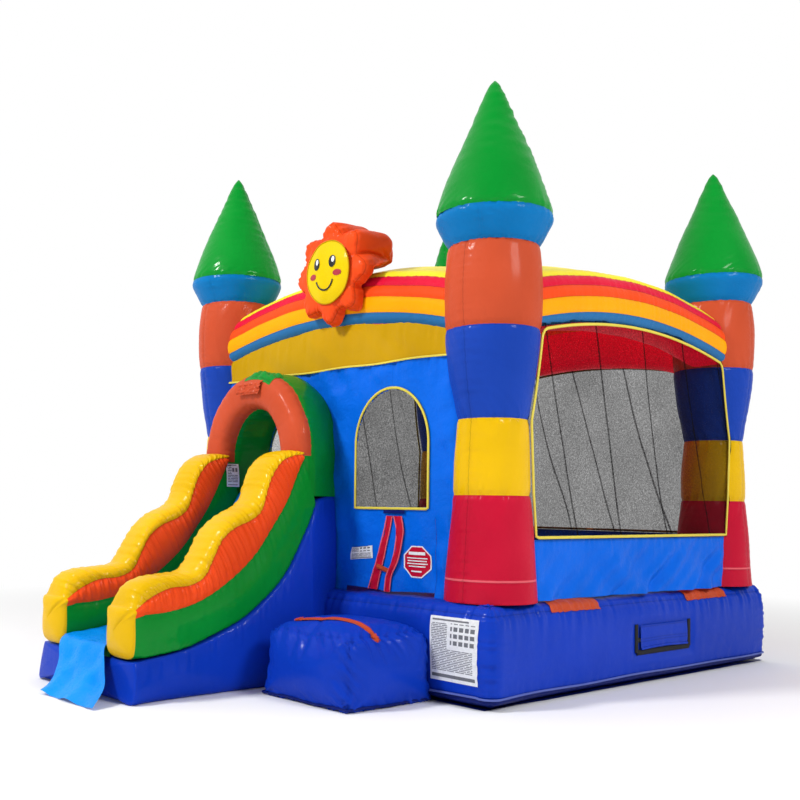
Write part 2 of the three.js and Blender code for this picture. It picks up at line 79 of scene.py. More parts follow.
# ---- Number helpers ------------------------------------------------------------------------------
def smooth_line(points, count):
    """A rounded line through points, as count points evenly spaced along it."""
    p = np.array(points, float)
    ends = np.vstack([2 * p[0] - p[1], p, 2 * p[-1] - p[-2]])
    fine = []
    for i in range(1, len(ends) - 2):
        a, b, c, d = ends[i - 1:i + 3]
        for t in np.linspace(0, 1, 24, endpoint=False):
            fine.append(0.5 * (2 * b + (c - a) * t + (2 * a - 5 * b + 4 * c - d) * t**2
                               + (3 * b - a - 3 * c + d) * t**3))
    fine.append(p[-1])
    return evenly(np.array(fine), count)


def run_along(line):
    """The distance along a line at each of its points."""
    return np.concatenate([[0], np.cumsum(np.linalg.norm(np.diff(line, axis=0), axis=1))])


def evenly(line, count):
    """A line's points moved to be evenly spaced along it."""
    run = run_along(line)
    at = np.linspace(0, run[-1], count)
    return np.stack([np.interp(at, run, line[:, k]) for k in range(line.shape[1])], axis=1)


def ripples(points, size, seed, count=7):
    """A smooth uneven value, mostly within 1, whose swells are about size metres across."""
    draw = np.random.default_rng(seed)
    total = np.zeros(points.shape[:-1])
    for _ in range(count):
        direction = draw.normal(size=3)
        direction *= draw.uniform(0.7, 1.5) * 2 * math.pi / size / np.linalg.norm(direction)
        total += np.sin(points @ direction + draw.uniform(0, 2 * math.pi))
    return total / math.sqrt(count)


def pucker(distance, along, depth=0.007, spacing=0.07, reach=0.07, pinch=0.008, width=0.018, seed=0):
    """How far fabric stands off its smooth shape at a distance from a seam.

    The seam pinches it in by pinch over width; folds of the given depth and spacing fan out over reach.
    """
    draw = np.random.default_rng(seed)
    distance, along = np.broadcast_arrays(distance, along)
    height = -pinch * np.exp(-((distance / width) ** 2))
    for k, stretch in enumerate((0.62, 0.8, 1.0, 1.37, 1.9)):
        fade = np.exp(-distance / (reach * stretch))
        swell = 0.6 + 0.4 * np.sin(along * draw.uniform(1.5, 4.5) + draw.uniform(0, 6))
        wave = np.sin(2 * math.pi * along / (spacing * stretch) + draw.uniform(0, 6) + 3 * k * distance)
        height += depth * 0.45 * fade * swell * wave
    return height


def normals(points, wrap=False):
    """Unit normals of a grid of points."""
    across = np.roll(points, -1, 1) - np.roll(points, 1, 1) if wrap else np.gradient(points, axis=1)
    down = np.gradient(points, axis=0)
    n = np.cross(across, down)
    return n / np.maximum(np.linalg.norm(n, axis=2, keepdims=True), 1e-9)


# ---- Mesh helpers --------------------------------------------------------------------------------
def finish_piece(obj, materials, body, replaced):
    """Gives a new mesh its materials, smooth shading, body and replaced CAD nodes."""
    for material in materials:
        obj.data.materials.append(material)
    for polygon in obj.data.polygons:
        polygon.use_smooth = True
    if body:
        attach(obj, body)
    if replaced:
        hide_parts(*replaced)
    return obj


def grid(name, points, materials, bands=None, wrap=False, seam=None, along=None, keep=None, flip=False,
         body=HOUSE, replaced=(), fill=None, blow=None):
    """A mesh over a grid of points. bands gives each cell's material; seam and along place the stitching."""
    rows, columns = points.shape[:2]
    mesh = bpy.data.meshes.new(name)
    index = np.arange(rows * columns).reshape(rows, columns)
    right = np.roll(index, -1, 1) if wrap else index[:, 1:]
    left = index if wrap else index[:, :-1]
    quads = np.stack([left[:-1], right[:-1], right[1:], left[1:]], axis=-1)
    if flip:
        quads = quads[..., ::-1]
    cell_bands = np.zeros(quads.shape[:2], int) if bands is None else np.broadcast_to(bands, quads.shape[:2])
    chosen = np.ones(quads.shape[:2], bool) if keep is None else keep
    mesh.from_pydata(points.reshape(-1, 3).tolist(), [], quads[chosen].tolist())
    mesh.polygons.foreach_set("material_index", cell_bands[chosen].astype(np.int32))
    write_attributes(mesh, points, seam, along)
    obj = bpy.data.objects.new(name, mesh)
    bpy.context.collection.objects.link(obj)
    if keep is not None:
        drop_loose(obj)
    if blow:
        inflate(obj, *blow)
    return finish_piece(obj, materials, body, replaced)


def write_attributes(mesh, points, seam, along):
    """The distance to the nearest seam, the run along it, and a UV map in metres."""
    shape = points.shape[:2]
    step_u = np.linalg.norm(np.diff(points, axis=1, prepend=points[:, :1]), axis=2)
    step_v = np.linalg.norm(np.diff(points, axis=0, prepend=points[:1]), axis=2)
    u = np.cumsum(np.broadcast_to(step_u.mean(0), shape), axis=1)
    v = np.cumsum(np.broadcast_to(step_v.mean(1, keepdims=True), shape), axis=0)
    far = np.full(shape, 1.0) if seam is None else np.broadcast_to(seam, shape)
    run = u if along is None else np.broadcast_to(along, shape)
    for attribute, values in (("seam", far), ("along", run)):
        made = mesh.attributes.new(attribute, "FLOAT", "POINT")
        made.data.foreach_set("value", values.astype(np.float32).ravel())
    layer = mesh.uv_layers.new(name="UVMap")
    corner = np.zeros(len(mesh.loops), np.int32)
    mesh.loops.foreach_get("vertex_index", corner)
    uv = np.stack([u.ravel()[corner], v.ravel()[corner]], axis=1)
    layer.data.foreach_set("uv", uv.astype(np.float32).ravel())


def drop_loose(obj):
    """Deletes the points that no face uses."""
    used = {v for p in obj.data.polygons for v in p.vertices}
    made = bmesh.new()
    made.from_mesh(obj.data)
    made.verts.ensure_lookup_table()
    bmesh.ops.delete(made, geom=[v for v in made.verts if v.index not in used], context="VERTS")
    made.to_mesh(obj.data)
    made.free()


STITCHED_WIDTH = 0.03  # bands at least this wide show their stitching


def ribbon(name, path, outward, material, width, rise=0.006, closed=False, **rest):
    """A soft flat band along a path, lying on a face whose outward direction is given."""
    path = np.array(path, float)
    outward = np.broadcast_to(np.array(outward, float), path.shape)
    ahead = np.roll(path, -1, 0) - np.roll(path, 1, 0) if closed else np.gradient(path, axis=0)
    side = np.cross(ahead, outward)
    side /= np.linalg.norm(side, axis=1, keepdims=True)
    turn = np.linspace(0, 2 * math.pi, 12, endpoint=False)
    flat = np.sign(np.cos(turn)) * np.abs(np.cos(turn)) ** 0.6 * width / 2
    high = np.sin(turn) * rise
    points = path[:, None] + side[:, None] * flat[None, :, None] + outward[:, None] * high[None, :, None]
    if closed:
        points = np.concatenate([points, points[:1]])
    seam = np.ones(points.shape[:2])
    if width >= STITCHED_WIDTH:
        stitches = np.abs(width / 2 - 0.006 - np.abs(flat))
        seam = seam * np.where(high > 0, stitches, 1.0)
    run = run_along(points[:, 0])
    return grid(name, points, [material], wrap=True, seam=seam, along=run[:, None], **rest)


def cast(target, points, direction):
    """Points moved along a direction onto a skin; one that misses goes as deep as the last that hit."""
    mesh = target.data
    tree = BVHTree.FromPolygons([v.co for v in mesh.vertices], [p.vertices for p in mesh.polygons])
    aim = Vector(direction).normalized()
    moved = points.copy()
    last = 0.0
    for at in np.ndindex(points.shape[:-1]):
        hit = tree.ray_cast(Vector(points[at]), aim)[0]
        last = (hit - Vector(points[at])).dot(aim) if hit else last
        moved[at] = points[at] + np.array(aim) * last
    return moved


def patch(name, target, points, direction, materials, lift=0.003, **rest):
    """A thin piece sewn flat on a skin: a grid of points cast onto it and lifted off by a little."""
    laid = cast(target, points, direction) - np.array(Vector(direction).normalized()) * lift
    return grid(name, laid, materials, **rest)


def oval(centre, right, above, half_width, half_height, rings=8, columns=40):
    """A grid over an oval, from its middle outwards."""
    angle = np.linspace(0, 2 * math.pi, columns, endpoint=False)
    share = np.linspace(0.001, 1, rings)[:, None, None]
    across = half_width * np.cos(angle)[None, :, None] * np.array(right, float)
    up = half_height * np.sin(angle)[None, :, None] * np.array(above, float)
    return np.array(centre, float) + share * (across + up)


def panel(centre, right, above, width, height, columns, rows):
    """A flat rectangular grid about its centre, from its lower left corner."""
    u = np.linspace(-0.5, 0.5, columns)[None, :, None] * width * np.array(right, float)
    v = np.linspace(-0.5, 0.5, rows)[:, None, None] * height * np.array(above, float)
    return np.array(centre, float) + u + v


def soft_box(cube, half, power, foot_power):
    """A cube's points pulled to a rounded box, squarer at its foot, and the way each one faces."""
    soft_power = foot_power + (power - foot_power) * np.clip(cube[:, 2] * 0.5 + 0.5, 0, 1)
    norm = (np.abs(cube) ** soft_power[:, None]).sum(1) ** (1 / soft_power)
    soft = cube / norm[:, None]
    facing = soft * np.abs(soft) ** (power - 2)
    return soft * half, facing / np.linalg.norm(facing, axis=1, keepdims=True)


def corner_gathers(cube, half):
    """Folds that radiate from a sewn block's corners."""
    side = np.sign(cube)
    gap = (side - cube) * half
    away = np.linalg.norm(gap, axis=1)
    sideways, forwards, upwards = (gap * side).T
    turn = np.arctan2(upwards - sideways, forwards - sideways)
    return np.clip(away / 0.03, 0, 1) * np.exp(-away / 0.09) * np.sin(9 * turn + 3 * side[:, 0])


def pillow(name, low, high, material, cuts=46, power=5.0, foot_power=5.0, puff=0.02, depth=0.010, seed=0,
           blow=None, replaced=()):
    """A puffed block standing on its foot: a soft box, gathered along its sewn edges."""
    low, high = np.array(low, float), np.array(high, float)
    middle, half = (low + high) / 2, (high - low) / 2
    made = bmesh.new()
    bmesh.ops.create_cube(made, size=2)
    bmesh.ops.subdivide_edges(made, edges=made.edges[:], cuts=cuts, use_grid_fill=True)
    mesh = bpy.data.meshes.new(name)
    made.to_mesh(mesh)
    made.free()
    cube = np.array([v.co for v in mesh.vertices])
    reach = np.sort(np.abs(cube), axis=1)
    near = (1 - reach[:, 1]) * half.mean()  # distance to the nearest cube edge
    along = (cube * half).sum(1)
    offset, facing = soft_box(cube, half, power, foot_power)
    points = middle + offset
    push = pucker(near, along, depth=depth, spacing=0.06, reach=0.06, pinch=0.003, width=0.03, seed=seed)
    push += 1.1 * depth * corner_gathers(cube, half)
    push += puff * (1 - reach[:, 2] ** 8) + puff * (1 - reach[:, 1] ** 2)
    push += 0.004 * ripples(points, 0.3, seed + 1)
    points = points + facing * push[:, None]
    points[:, 2] = np.maximum(points[:, 2], low[2])
    mesh.vertices.foreach_set("co", points.ravel())
    for attribute, values in (("seam", near + 1), ("along", along)):
        mesh.attributes.new(attribute, "FLOAT", "POINT").data.foreach_set("value", values.astype(np.float32))
    layer = mesh.uv_layers.new(name="UVMap")
    corner_vertex = np.zeros(len(mesh.loops), np.int32)
    mesh.loops.foreach_get("vertex_index", corner_vertex)
    flat = np.stack([points[:, 0] + points[:, 1], points[:, 2] + points[:, 1]], axis=1)
    layer.data.foreach_set("uv", flat[corner_vertex].astype(np.float32).ravel())
    obj = bpy.data.objects.new(name, mesh)
    bpy.context.collection.objects.link(obj)
    if blow:
        inflate(obj, *blow)
        lift = np.array([v.co for v in mesh.vertices])
        lift[:, 2] = np.maximum(lift[:, 2], low[2])
        mesh.vertices.foreach_set("co", lift.ravel())
    return finish_piece(obj, [material], HOUSE, replaced)


def tube(name, path, radius, material, closed=False, **rest):
    """A round bar or cord along a path."""
    path = np.array(path, float)
    ahead = np.roll(path, -1, 0) - np.roll(path, 1, 0) if closed else np.gradient(path, axis=0)
    ahead /= np.linalg.norm(ahead, axis=1, keepdims=True)
    guide = np.array([0.31, 0.17, 0.93]) if abs(ahead[0, 2]) < 0.9 else np.array([0.9, 0.3, 0.1])
    side = np.cross(ahead, guide)
    side /= np.linalg.norm(side, axis=1, keepdims=True)
    other = np.cross(ahead, side)
    turn = np.linspace(0, 2 * math.pi, 14, endpoint=False)
    ring = side[:, None] * np.cos(turn)[None, :, None] + other[:, None] * np.sin(turn)[None, :, None]
    points = path[:, None] + radius * ring
    if closed:
        points = np.concatenate([points, points[:1]])
    grid(name, points, [material], wrap=True, **rest)


def inflate(obj, pressure, cap, frames=18):
    """Blows a sewn piece up with a cloth simulation and keeps the result, each point moved by at most cap."""
    mesh, scene = obj.data, bpy.context.scene
    start = np.zeros(len(mesh.vertices) * 3, np.float32)
    mesh.vertices.foreach_get("co", start)
    foot = [v.index for v in mesh.vertices if v.co.z < 0.004]
    held = obj.vertex_groups.new(name="foot")
    held.add(foot, 1.0, "REPLACE")
    cloth = obj.modifiers.new("inflate", "CLOTH")
    settings = cloth.settings
    settings.quality = 6
    settings.mass = 0.3
    settings.tension_stiffness = settings.compression_stiffness = 30
    settings.shear_stiffness = 12
    settings.bending_stiffness = 0.6
    settings.air_damping = 2
    settings.use_pressure = True
    settings.uniform_pressure_force = pressure
    settings.effector_weights.gravity = 0
    if foot:
        settings.vertex_group_mass = held.name
    cloth.point_cache.frame_start, cloth.point_cache.frame_end = 1, frames
    for frame_number in range(1, frames + 1):
        scene.frame_set(frame_number)
    blown = obj.evaluated_get(bpy.context.evaluated_depsgraph_get()).to_mesh()
    end = np.zeros_like(start)
    blown.vertices.foreach_get("co", end)
    obj.modifiers.remove(cloth)
    obj.vertex_groups.remove(held)
    scene.frame_set(1)
    move = (end - start).reshape(-1, 3)
    reach = np.linalg.norm(move, axis=1, keepdims=True)
    move *= np.minimum(1, cap / np.maximum(reach, 1e-9))
    mesh.vertices.foreach_set("co", (start.reshape(-1, 3) + move).ravel())
    mesh.update()


# ---- Materials -----------------------------------------------------------------------------------
def linear(colour):
    """A hex colour as linear red, green, blue and alpha."""
    parts = [int(colour[i:i + 2], 16) / 255 for i in (1, 3, 5)]
    return [c / 12.92 if c <= 0.04045 else ((c + 0.055) / 1.055) ** 2.4 for c in parts] + [1]


def dimmed(colour, share):
    """A hex colour darkened to a share of itself, as linear red, green, blue and alpha."""
    return [c * share for c in linear(colour)[:3]] + [1]


class Shader:
    """A material's node tree, with short ways to add to it."""

    def __init__(self, name, slot):
        self.material = bpy.data.materials.new(name)
        self.material.use_nodes = True
        self.material["slot"] = slot
        self.tree = self.material.node_tree
        self.surface = self.tree.nodes["Principled BSDF"]

    def node(self, kind, inputs=(), **settings):
        """A new node with its settings, and its inputs set to values or linked to sockets."""
        made = self.tree.nodes.new(kind)
        for key, value in settings.items():
            setattr(made, key, value)
        for key, value in dict(inputs).items():
            if isinstance(value, bpy.types.NodeSocket):
                self.tree.links.new(value, made.inputs[key])
            else:
                made.inputs[key].default_value = value
        return made

    def math(self, operation, a, b=0.0):
        return self.node("ShaderNodeMath", {0: a, 1: b}, operation=operation).outputs[0]

    def mix(self, share, first, second):
        """Two colours mixed, all second where share is 1."""
        inputs = {"Factor": share, "A": first, "B": second}
        return self.node("ShaderNodeMix", inputs, data_type="RGBA").outputs["Result"]

    def noise(self, vector, scale, detail=3.0, rough=0.5):
        inputs = {"Vector": vector, "Scale": scale, "Detail": detail, "Roughness": rough}
        return self.node("ShaderNodeTexNoise", inputs).outputs[0]

    def attribute(self, name):
        return self.node("ShaderNodeAttribute", attribute_name=name).outputs["Fac"]

    def spread(self, value, low, high, to_low=0.0, to_high=1.0):
        """A value's range from low to high spread over another range, and held at its ends."""
        inputs = {0: value, 1: low, 2: high, 3: to_low, 4: to_high}
        return self.node("ShaderNodeMapRange", inputs).outputs[0]

    def bump(self, height, distance, under=None):
        """A normal from a height, on top of the one under it."""
        inputs = {"Height": height, "Distance": distance, "Strength": 1.0}
        if under is not None:
            inputs["Normal"] = under
        return self.node("ShaderNodeBump", inputs).outputs[0]

    def set(self, **values):
        """Sets or links the surface's own sockets, by their names with _ for a space."""
        for key, value in values.items():
            socket = self.surface.inputs[key.replace("_", " ")]
            if isinstance(value, bpy.types.NodeSocket):
                self.tree.links.new(value, socket)
            else:
                socket.default_value = value


THREADS = 330.0  # the scrim's threads per metre, over two
STITCH_LINE = 0.010  # how far the stitching runs from a seam


def vinyl(name, colour, slot, rough=0.40, wrinkle=1.0, coat=0.10, glow=0.0):
    """Coated vinyl: soft gloss, faint scrim weave, fine creases, sewn seams with painted shade along them, and
    scuffed wear.

    glow is painted light: an emission in its own colour that stands in for daylight coming through it.
    """
    s = Shader(name, slot)
    where = s.node("ShaderNodeTexCoord").outputs["Object"]
    weave = s.node("ShaderNodeUVMap", uv_map="UVMap").outputs[0]
    seam, along = s.attribute("seam"), s.attribute("along")
    swell = s.noise(where, 1.7, 2.0)
    crease = s.noise(where, 9.0, 4.0, 0.55)
    scuff = s.noise(where, 38.0, 5.0, 0.7)
    paler = [min(1, c * 1.14 + 0.003) for c in linear(colour)]
    # Painted shade: the colour darkens towards each seam, where its groove would be shaded; the scuff noise dims it
    # a little more as real wear.
    shade = s.spread(seam, 0.0008, 0.006, 0.55, 1.0)
    seam_shade_and_scuff = s.math("MULTIPLY", shade, s.spread(scuff, 0.62, 0.8, 1.0, 0.93))
    clean = s.mix(s.spread(swell, 0.35, 0.7), linear(colour), paler)
    s.set(Base_Color=s.mix(seam_shade_and_scuff, dimmed(colour, 0.35), clean), Coat_Weight=coat, Coat_Roughness=0.13)
    s.set(Roughness=s.spread(scuff, 0.3, 0.75, rough - 0.06, rough + 0.14), Specular_IOR_Level=0.04)
    # Painted light: the glow is emission from a part that is no lamp.
    s.set(Emission_Color=linear(colour), Emission_Strength=glow)
    woven = {"Vector": weave, "Scale": THREADS, "Distortion": 0.6}
    warp, weft = (s.node("ShaderNodeTexWave", woven, bands_direction=way).outputs["Fac"] for way in "XY")
    scrim = s.math("ADD", warp, weft)
    stitch = s.math("LESS_THAN", s.math("ABSOLUTE", s.math("SUBTRACT", seam, STITCH_LINE)), 0.0012)
    dash = s.math("LESS_THAN", s.math("FRACT", s.math("MULTIPLY", along, 160.0)), 0.62)
    sewn = s.math("MULTIPLY", stitch, dash)
    low = s.bump(crease, 0.006 * wrinkle)
    middle = s.bump(s.noise(where, 45.0, 4.0, 0.6), 0.0012 * wrinkle, under=low)
    fine = s.bump(scrim, 0.00008, under=middle)
    s.set(Normal=s.bump(sewn, 0.0007, under=fine))
    return s.material


def plain(name, colour, slot, rough=0.5, metal=0.0, grain=60.0, depth=0.0004):
    """A small part's surface: a matte or metal colour with a fine grain."""
    s = Shader(name, slot)
    where = s.node("ShaderNodeTexCoord").outputs["Object"]
    noise = s.noise(where, grain, 5.0, 0.65)
    speckled = s.mix(s.spread(noise, 0.3, 0.7), dimmed(colour, 0.82), linear(colour))
    s.set(Base_Color=speckled, Metallic=metal)
    s.set(Roughness=s.spread(noise, 0.3, 0.8, rough - 0.08, rough + 0.1), Normal=s.bump(noise, depth))
    return s.material


def netting(name, colour, slot, close=0.0, creased=0.36):
    """Fine knitted safety net: dark threads with open cells, and thin dark lines where it is creased."""
    s = Shader(name, slot)
    where = s.node("ShaderNodeTexCoord").outputs["Object"]
    speckle = s.spread(s.noise(where, 95.0, 2.0, 0.8), 0.32, 0.68, -0.20, 0.20)
    patchy = s.spread(s.noise(where, 2.4, 2.0), 0.3, 0.7, -0.04, 0.05)
    tall = s.node("ShaderNodeMapping", {"Vector": where, "Scale": (1.0, 1.0, 0.28)}).outputs[0]
    folds_in = {"Vector": tall, "Scale": 1.25, "Distortion": 3.5, "Detail": 1.5, "Detail Scale": 0.7}
    crease = s.node("ShaderNodeTexWave", folds_in, bands_direction="DIAGONAL").outputs["Fac"]
    line = s.spread(crease, 0.9955, 0.9992, 0.0, creased)
    dense = s.math("ADD", s.math("ADD", speckle, patchy), s.math("ADD", line, 0.505 + close))
    s.set(Base_Color=linear(colour), Roughness=0.8, Specular_IOR_Level=0.02)
    s.set(Alpha=s.math("MINIMUM", s.math("MAXIMUM", dense, 0.0), 1.0), Normal=s.bump(speckle, 0.001))
    return s.material


RED = vinyl("vinyl_red", "#bc1030", "vinyl_red")
# The red lining glows: painted light standing in for daylight through the roof and the beams.
GLOWING_LINING = vinyl("vinyl_red_lining", "#d00822", "vinyl_red", glow=0.9)
YELLOW = vinyl("vinyl_yellow", "#dcae00", "vinyl_yellow", coat=0.20)
BLUE = vinyl("vinyl_blue", "#0836b0", "vinyl_blue", rough=0.38, coat=0.13)
ROYAL = vinyl("vinyl_royal_blue", "#143ea4", "vinyl_blue")
ORANGE = vinyl("vinyl_orange", "#bc4a2b", "vinyl_orange")
GREEN = vinyl("vinyl_green", "#008428", "vinyl_green", rough=0.34, coat=0.24)
TEAL = vinyl("vinyl_teal_blue", "#006cac", "vinyl_teal_blue")
SKY = vinyl("vinyl_sky_blue", "#0062d8", "vinyl_sky_blue", wrinkle=2.6)
NAVY = vinyl("vinyl_navy", "#0e1c66", "vinyl_navy", rough=0.5)
SCARLET = vinyl("vinyl_scarlet", "#ea4a18", "vinyl_scarlet")
AMBER = vinyl("vinyl_amber", "#f5a000", "vinyl_yellow")
CRIMSON = vinyl("vinyl_crimson", "#d81438", "vinyl_red")
STEEL_BLUE = vinyl("vinyl_steel_blue", "#26689e", "vinyl_teal_blue")
LEMON = vinyl("vinyl_lemon", "#f2e030", "vinyl_yellow")
# A darker yellow: the sun face rim's own ochre, and painted shade on the yellow panel under the beam.
OCHRE_AND_SHADED_YELLOW = vinyl("vinyl_ochre_and_shaded_yellow", "#ba8f00", "vinyl_yellow")
PIPING = vinyl("vinyl_grey_blue", "#5a68b0", "vinyl_blue")
SUNNY = vinyl("vinyl_sun_yellow", "#dcbc00", "vinyl_yellow")
CORAL = vinyl("vinyl_coral", "#e0606a", "vinyl_red")
PALE = vinyl("vinyl_pale_yellow", "#d9c850", "vinyl_yellow")
CYAN = vinyl("vinyl_cyan", "#008cf0", "vinyl_cyan", rough=0.28, wrinkle=1.8, coat=0.14)
NET = netting("safety_netting", "#0c0c0d", "netting")
FRONT_NET = netting("front_netting", "#0c0c0d", "netting", close=0.13, creased=0.04)
TAPE = plain("hook_tape", "#141416", "hook_tape", rough=0.85, grain=400.0, depth=0.001)
WHITE = plain("label_white", "#eef0f2", "label_fabric", rough=0.6)
INK = plain("label_grey", "#6d7076", "label_fabric", rough=0.7)
STEEL = plain("ring_steel", "#c4c6ca", "ring_steel", rough=0.3, metal=1.0)
BLACK = plain("eye_black", "#0c0c0d", "vinyl_yellow", rough=0.35)
BLUSH = plain("cheek_red", "#b02034", "vinyl_yellow", rough=0.45)


# ---- Towers --------------------------------------------------------------------------------------
def shaft_bow(height):
    """The share of a tower's lean that its shaft has at a height: none at its foot and under its collar."""
    return np.sin(np.clip((height - BASE.z) / (COLLAR_FOOT - BASE.z), 0, 1) * math.pi) ** 0.4


def turned_piece(name, outline, x, y, materials, bands_at, seams, rows, upright_at, tip_folds=0.0, seed=0,
                 stitched=(), lean=(0.0, 0.0), replaced=()):
    """An inflated piece turned about a tower's axis, sewn at the seam heights and along one upright seam."""
    columns = 132
    line = smooth_line(outline, rows)
    radius, height = line[:, 0], line[:, 1]
    angle = np.linspace(0, 2 * math.pi, columns, endpoint=False)
    seam_list = np.array(seams)
    near = np.abs(height[:, None] - seam_list[None]).min(1)
    edge_span = np.diff(np.sort(seam_list)).min() if len(seams) > 1 else 0.4
    bulge = 0.010 * np.clip(np.sin(np.clip(near / edge_span, 0, 0.5) * math.pi), 0, 1) ** 0.6
    ring = np.stack([np.cos(angle), np.sin(angle), np.zeros(columns)], axis=1)
    spots = ring[None] * radius[:, None, None] + np.array([0, 0, 1.0]) * height[:, None, None] + seed
    arc = angle[None] * np.maximum(radius, 0.08)[:, None]
    push = bulge[:, None] + pucker(near[:, None], arc, depth=0.0055, spacing=0.05, reach=0.05, pinch=0.006,
                                   seed=seed)
    push += 0.003 * ripples(spots, 0.45, seed + 1)
    turned = (angle - upright_at + math.pi) % (2 * math.pi) - math.pi
    upright = np.abs(turned)[None] * radius[:, None]
    push += pucker(upright, height[:, None], depth=0.0045, spacing=0.045, reach=0.05, pinch=0.004,
                   width=0.012)
    if tip_folds:
        tall = np.clip((height - height[0]) / (height[-1] - height[0]), 0, 1)[:, None]
        folds = ripples(spots * [0.9, 0.9, 2.0], 0.15, seed + 5, 9)
        push += tip_folds * tall**1.2 * folds * (radius[:, None] > 0.01)
    fade = np.clip(radius / 0.06, 0, 1)[:, None]
    wide = radius[:, None] + push * fade
    level = height[:, None] + 0 * wide
    points = np.stack([x + wide * np.cos(angle), y + wide * np.sin(angle), level], axis=2)
    bands = np.searchsorted(np.array(bands_at), (height[:-1] + height[1:]) / 2)[:, None]
    tilt = np.clip((height - COLLAR_FOOT) / (TIP - COLLAR_FOOT), 0, 1)[:, None, None]
    points[..., :2] += tilt * np.array(lean)
    points[..., :2] += shaft_bow(height)[:, None, None] * np.array(lean)
    for row in stitched:
        near = np.minimum(near, np.abs(height - row))
    grid(name, points, materials, bands=bands, wrap=True, seam=np.minimum(near[:, None], upright),
         along=arc + height[:, None], replaced=replaced, fill=1.0)


SHAFT_COLOURS = [RED, CORAL, RED, YELLOW, ROYAL, ORANGE]
SHAFT_STITCH = 0.745  # the coral line of stitching round the shaft's foot
COLLAR = [(0.284, COLLAR_FOOT - 0.004), (0.322, 2.93), (0.358, 3.0), (0.367, CONE_FOOT - 0.002)]
CONE = [(0.367, CONE_FOOT - 0.004), (0.357, 3.09), (0.30, 3.25), (0.205, 3.48), (0.115, 3.69), (0.04, 3.87),
        (0.012, TIP - 0.012), (0.0, TIP)]


def tower(place, x, y, seed, upright_at, lean):
    """A tower: its banded shaft, the collar that widens above it, and the cone."""
    node = f"tower_{place}_"
    bands_at = (SHAFT_STITCH - 0.006, SHAFT_STITCH + 0.007, *SHAFT_SEAMS)
    turned_piece(node + "shaft_skin", WAIST, x, y, SHAFT_COLOURS, bands_at, (0.55, *SHAFT_SEAMS, 2.85), 170,
                 upright_at, seed=seed, stitched=(SHAFT_STITCH,), lean=lean, replaced=[node + "shaft"])
    turned_piece(node + "collar_skin", COLLAR, x, y, [TEAL], [], (COLLAR_FOOT, CONE_FOOT), 18,
                 upright_at + 0.4, seed=seed + 2, lean=lean, replaced=[node + "collar"])
    turned_piece(node + "cone_skin", CONE, x, y, [GREEN], [], (CONE_FOOT,), 90,
                 upright_at + 2.1, tip_folds=0.0032, seed=seed + 3, lean=lean, replaced=[node + "cone"])


CORNERS = [("front_left", -1, -1, -95), ("front_right", 1, -1, -87), ("back_right", 1, 1, 5),
           ("back_left", -1, 1, 175)]  # name, side along X and Y, and where the upright seam faces in degrees
for number, (place, sx, sy, seam_at) in enumerate(CORNERS):
    lean = BACK_LEFT_LEAN if place == "back_left" else (0.0, 0.0)
    tower(place, sx * TOWER, sy * TOWER, 3 + 11 * number, math.radians(seam_at), lean)


# ---- Base ----------------------------------------------------------------------------------------
def around(half_x, half_y, corner, count):
    """Points and outward directions round a rounded rectangle, from the front right corner."""
    corners = []
    for quarter, (cx, cy) in enumerate(((1, -1), (1, 1), (-1, 1), (-1, -1))):
        for a in np.linspace(-math.pi / 2, 0, 9) + quarter * math.pi / 2:
            corners.append((cx * (half_x - corner) + corner * math.cos(a),
                            cy * (half_y - corner) + corner * math.sin(a)))
    corners.append(corners[0])
    line = evenly(np.array(corners), count + 1)[:-1]
    ahead = np.roll(line, -1, 0) - np.roll(line, 1, 0)
    out = np.stack([ahead[:, 1], -ahead[:, 0]], axis=1)
    return line, out / np.linalg.norm(out, axis=1, keepdims=True)


def flare(x, y):
    """How far the base's front corners are drawn out sideways, as the air pushes them."""
    away = np.hypot(np.abs(x) - BASE.x, y + BASE.y)
    return 0.055 * np.sign(x) * np.exp(-((away / 0.34) ** 1.3))


def calmed_for_vent(points):
    """The base's side pressed flat where the deflation vent's zip and flap lie on it."""
    low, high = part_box("vent_hook_tape")
    middle, half = (low + high) / 2, (high - low) / 2
    beside = np.maximum(np.abs(points[..., 1] - middle.y) - half.y,
                        np.abs(points[..., 2] - middle.z) - half.z)
    calm = (points[..., 0] > BASE.x - 0.03) * np.clip(1 - beside / 0.07, 0, 1)
    flat = np.minimum(points[..., 0], BASE.x - 0.001)
    return points[..., 0] + (flat - points[..., 0]) * calm * calm * (3 - 2 * calm)


BASE_CORNER = 0.09  # the base's corners' radius, seen from above
BASE_SEAM, FOOT_SEAM = 0.555, 0.075  # heights of the seams round the base's side


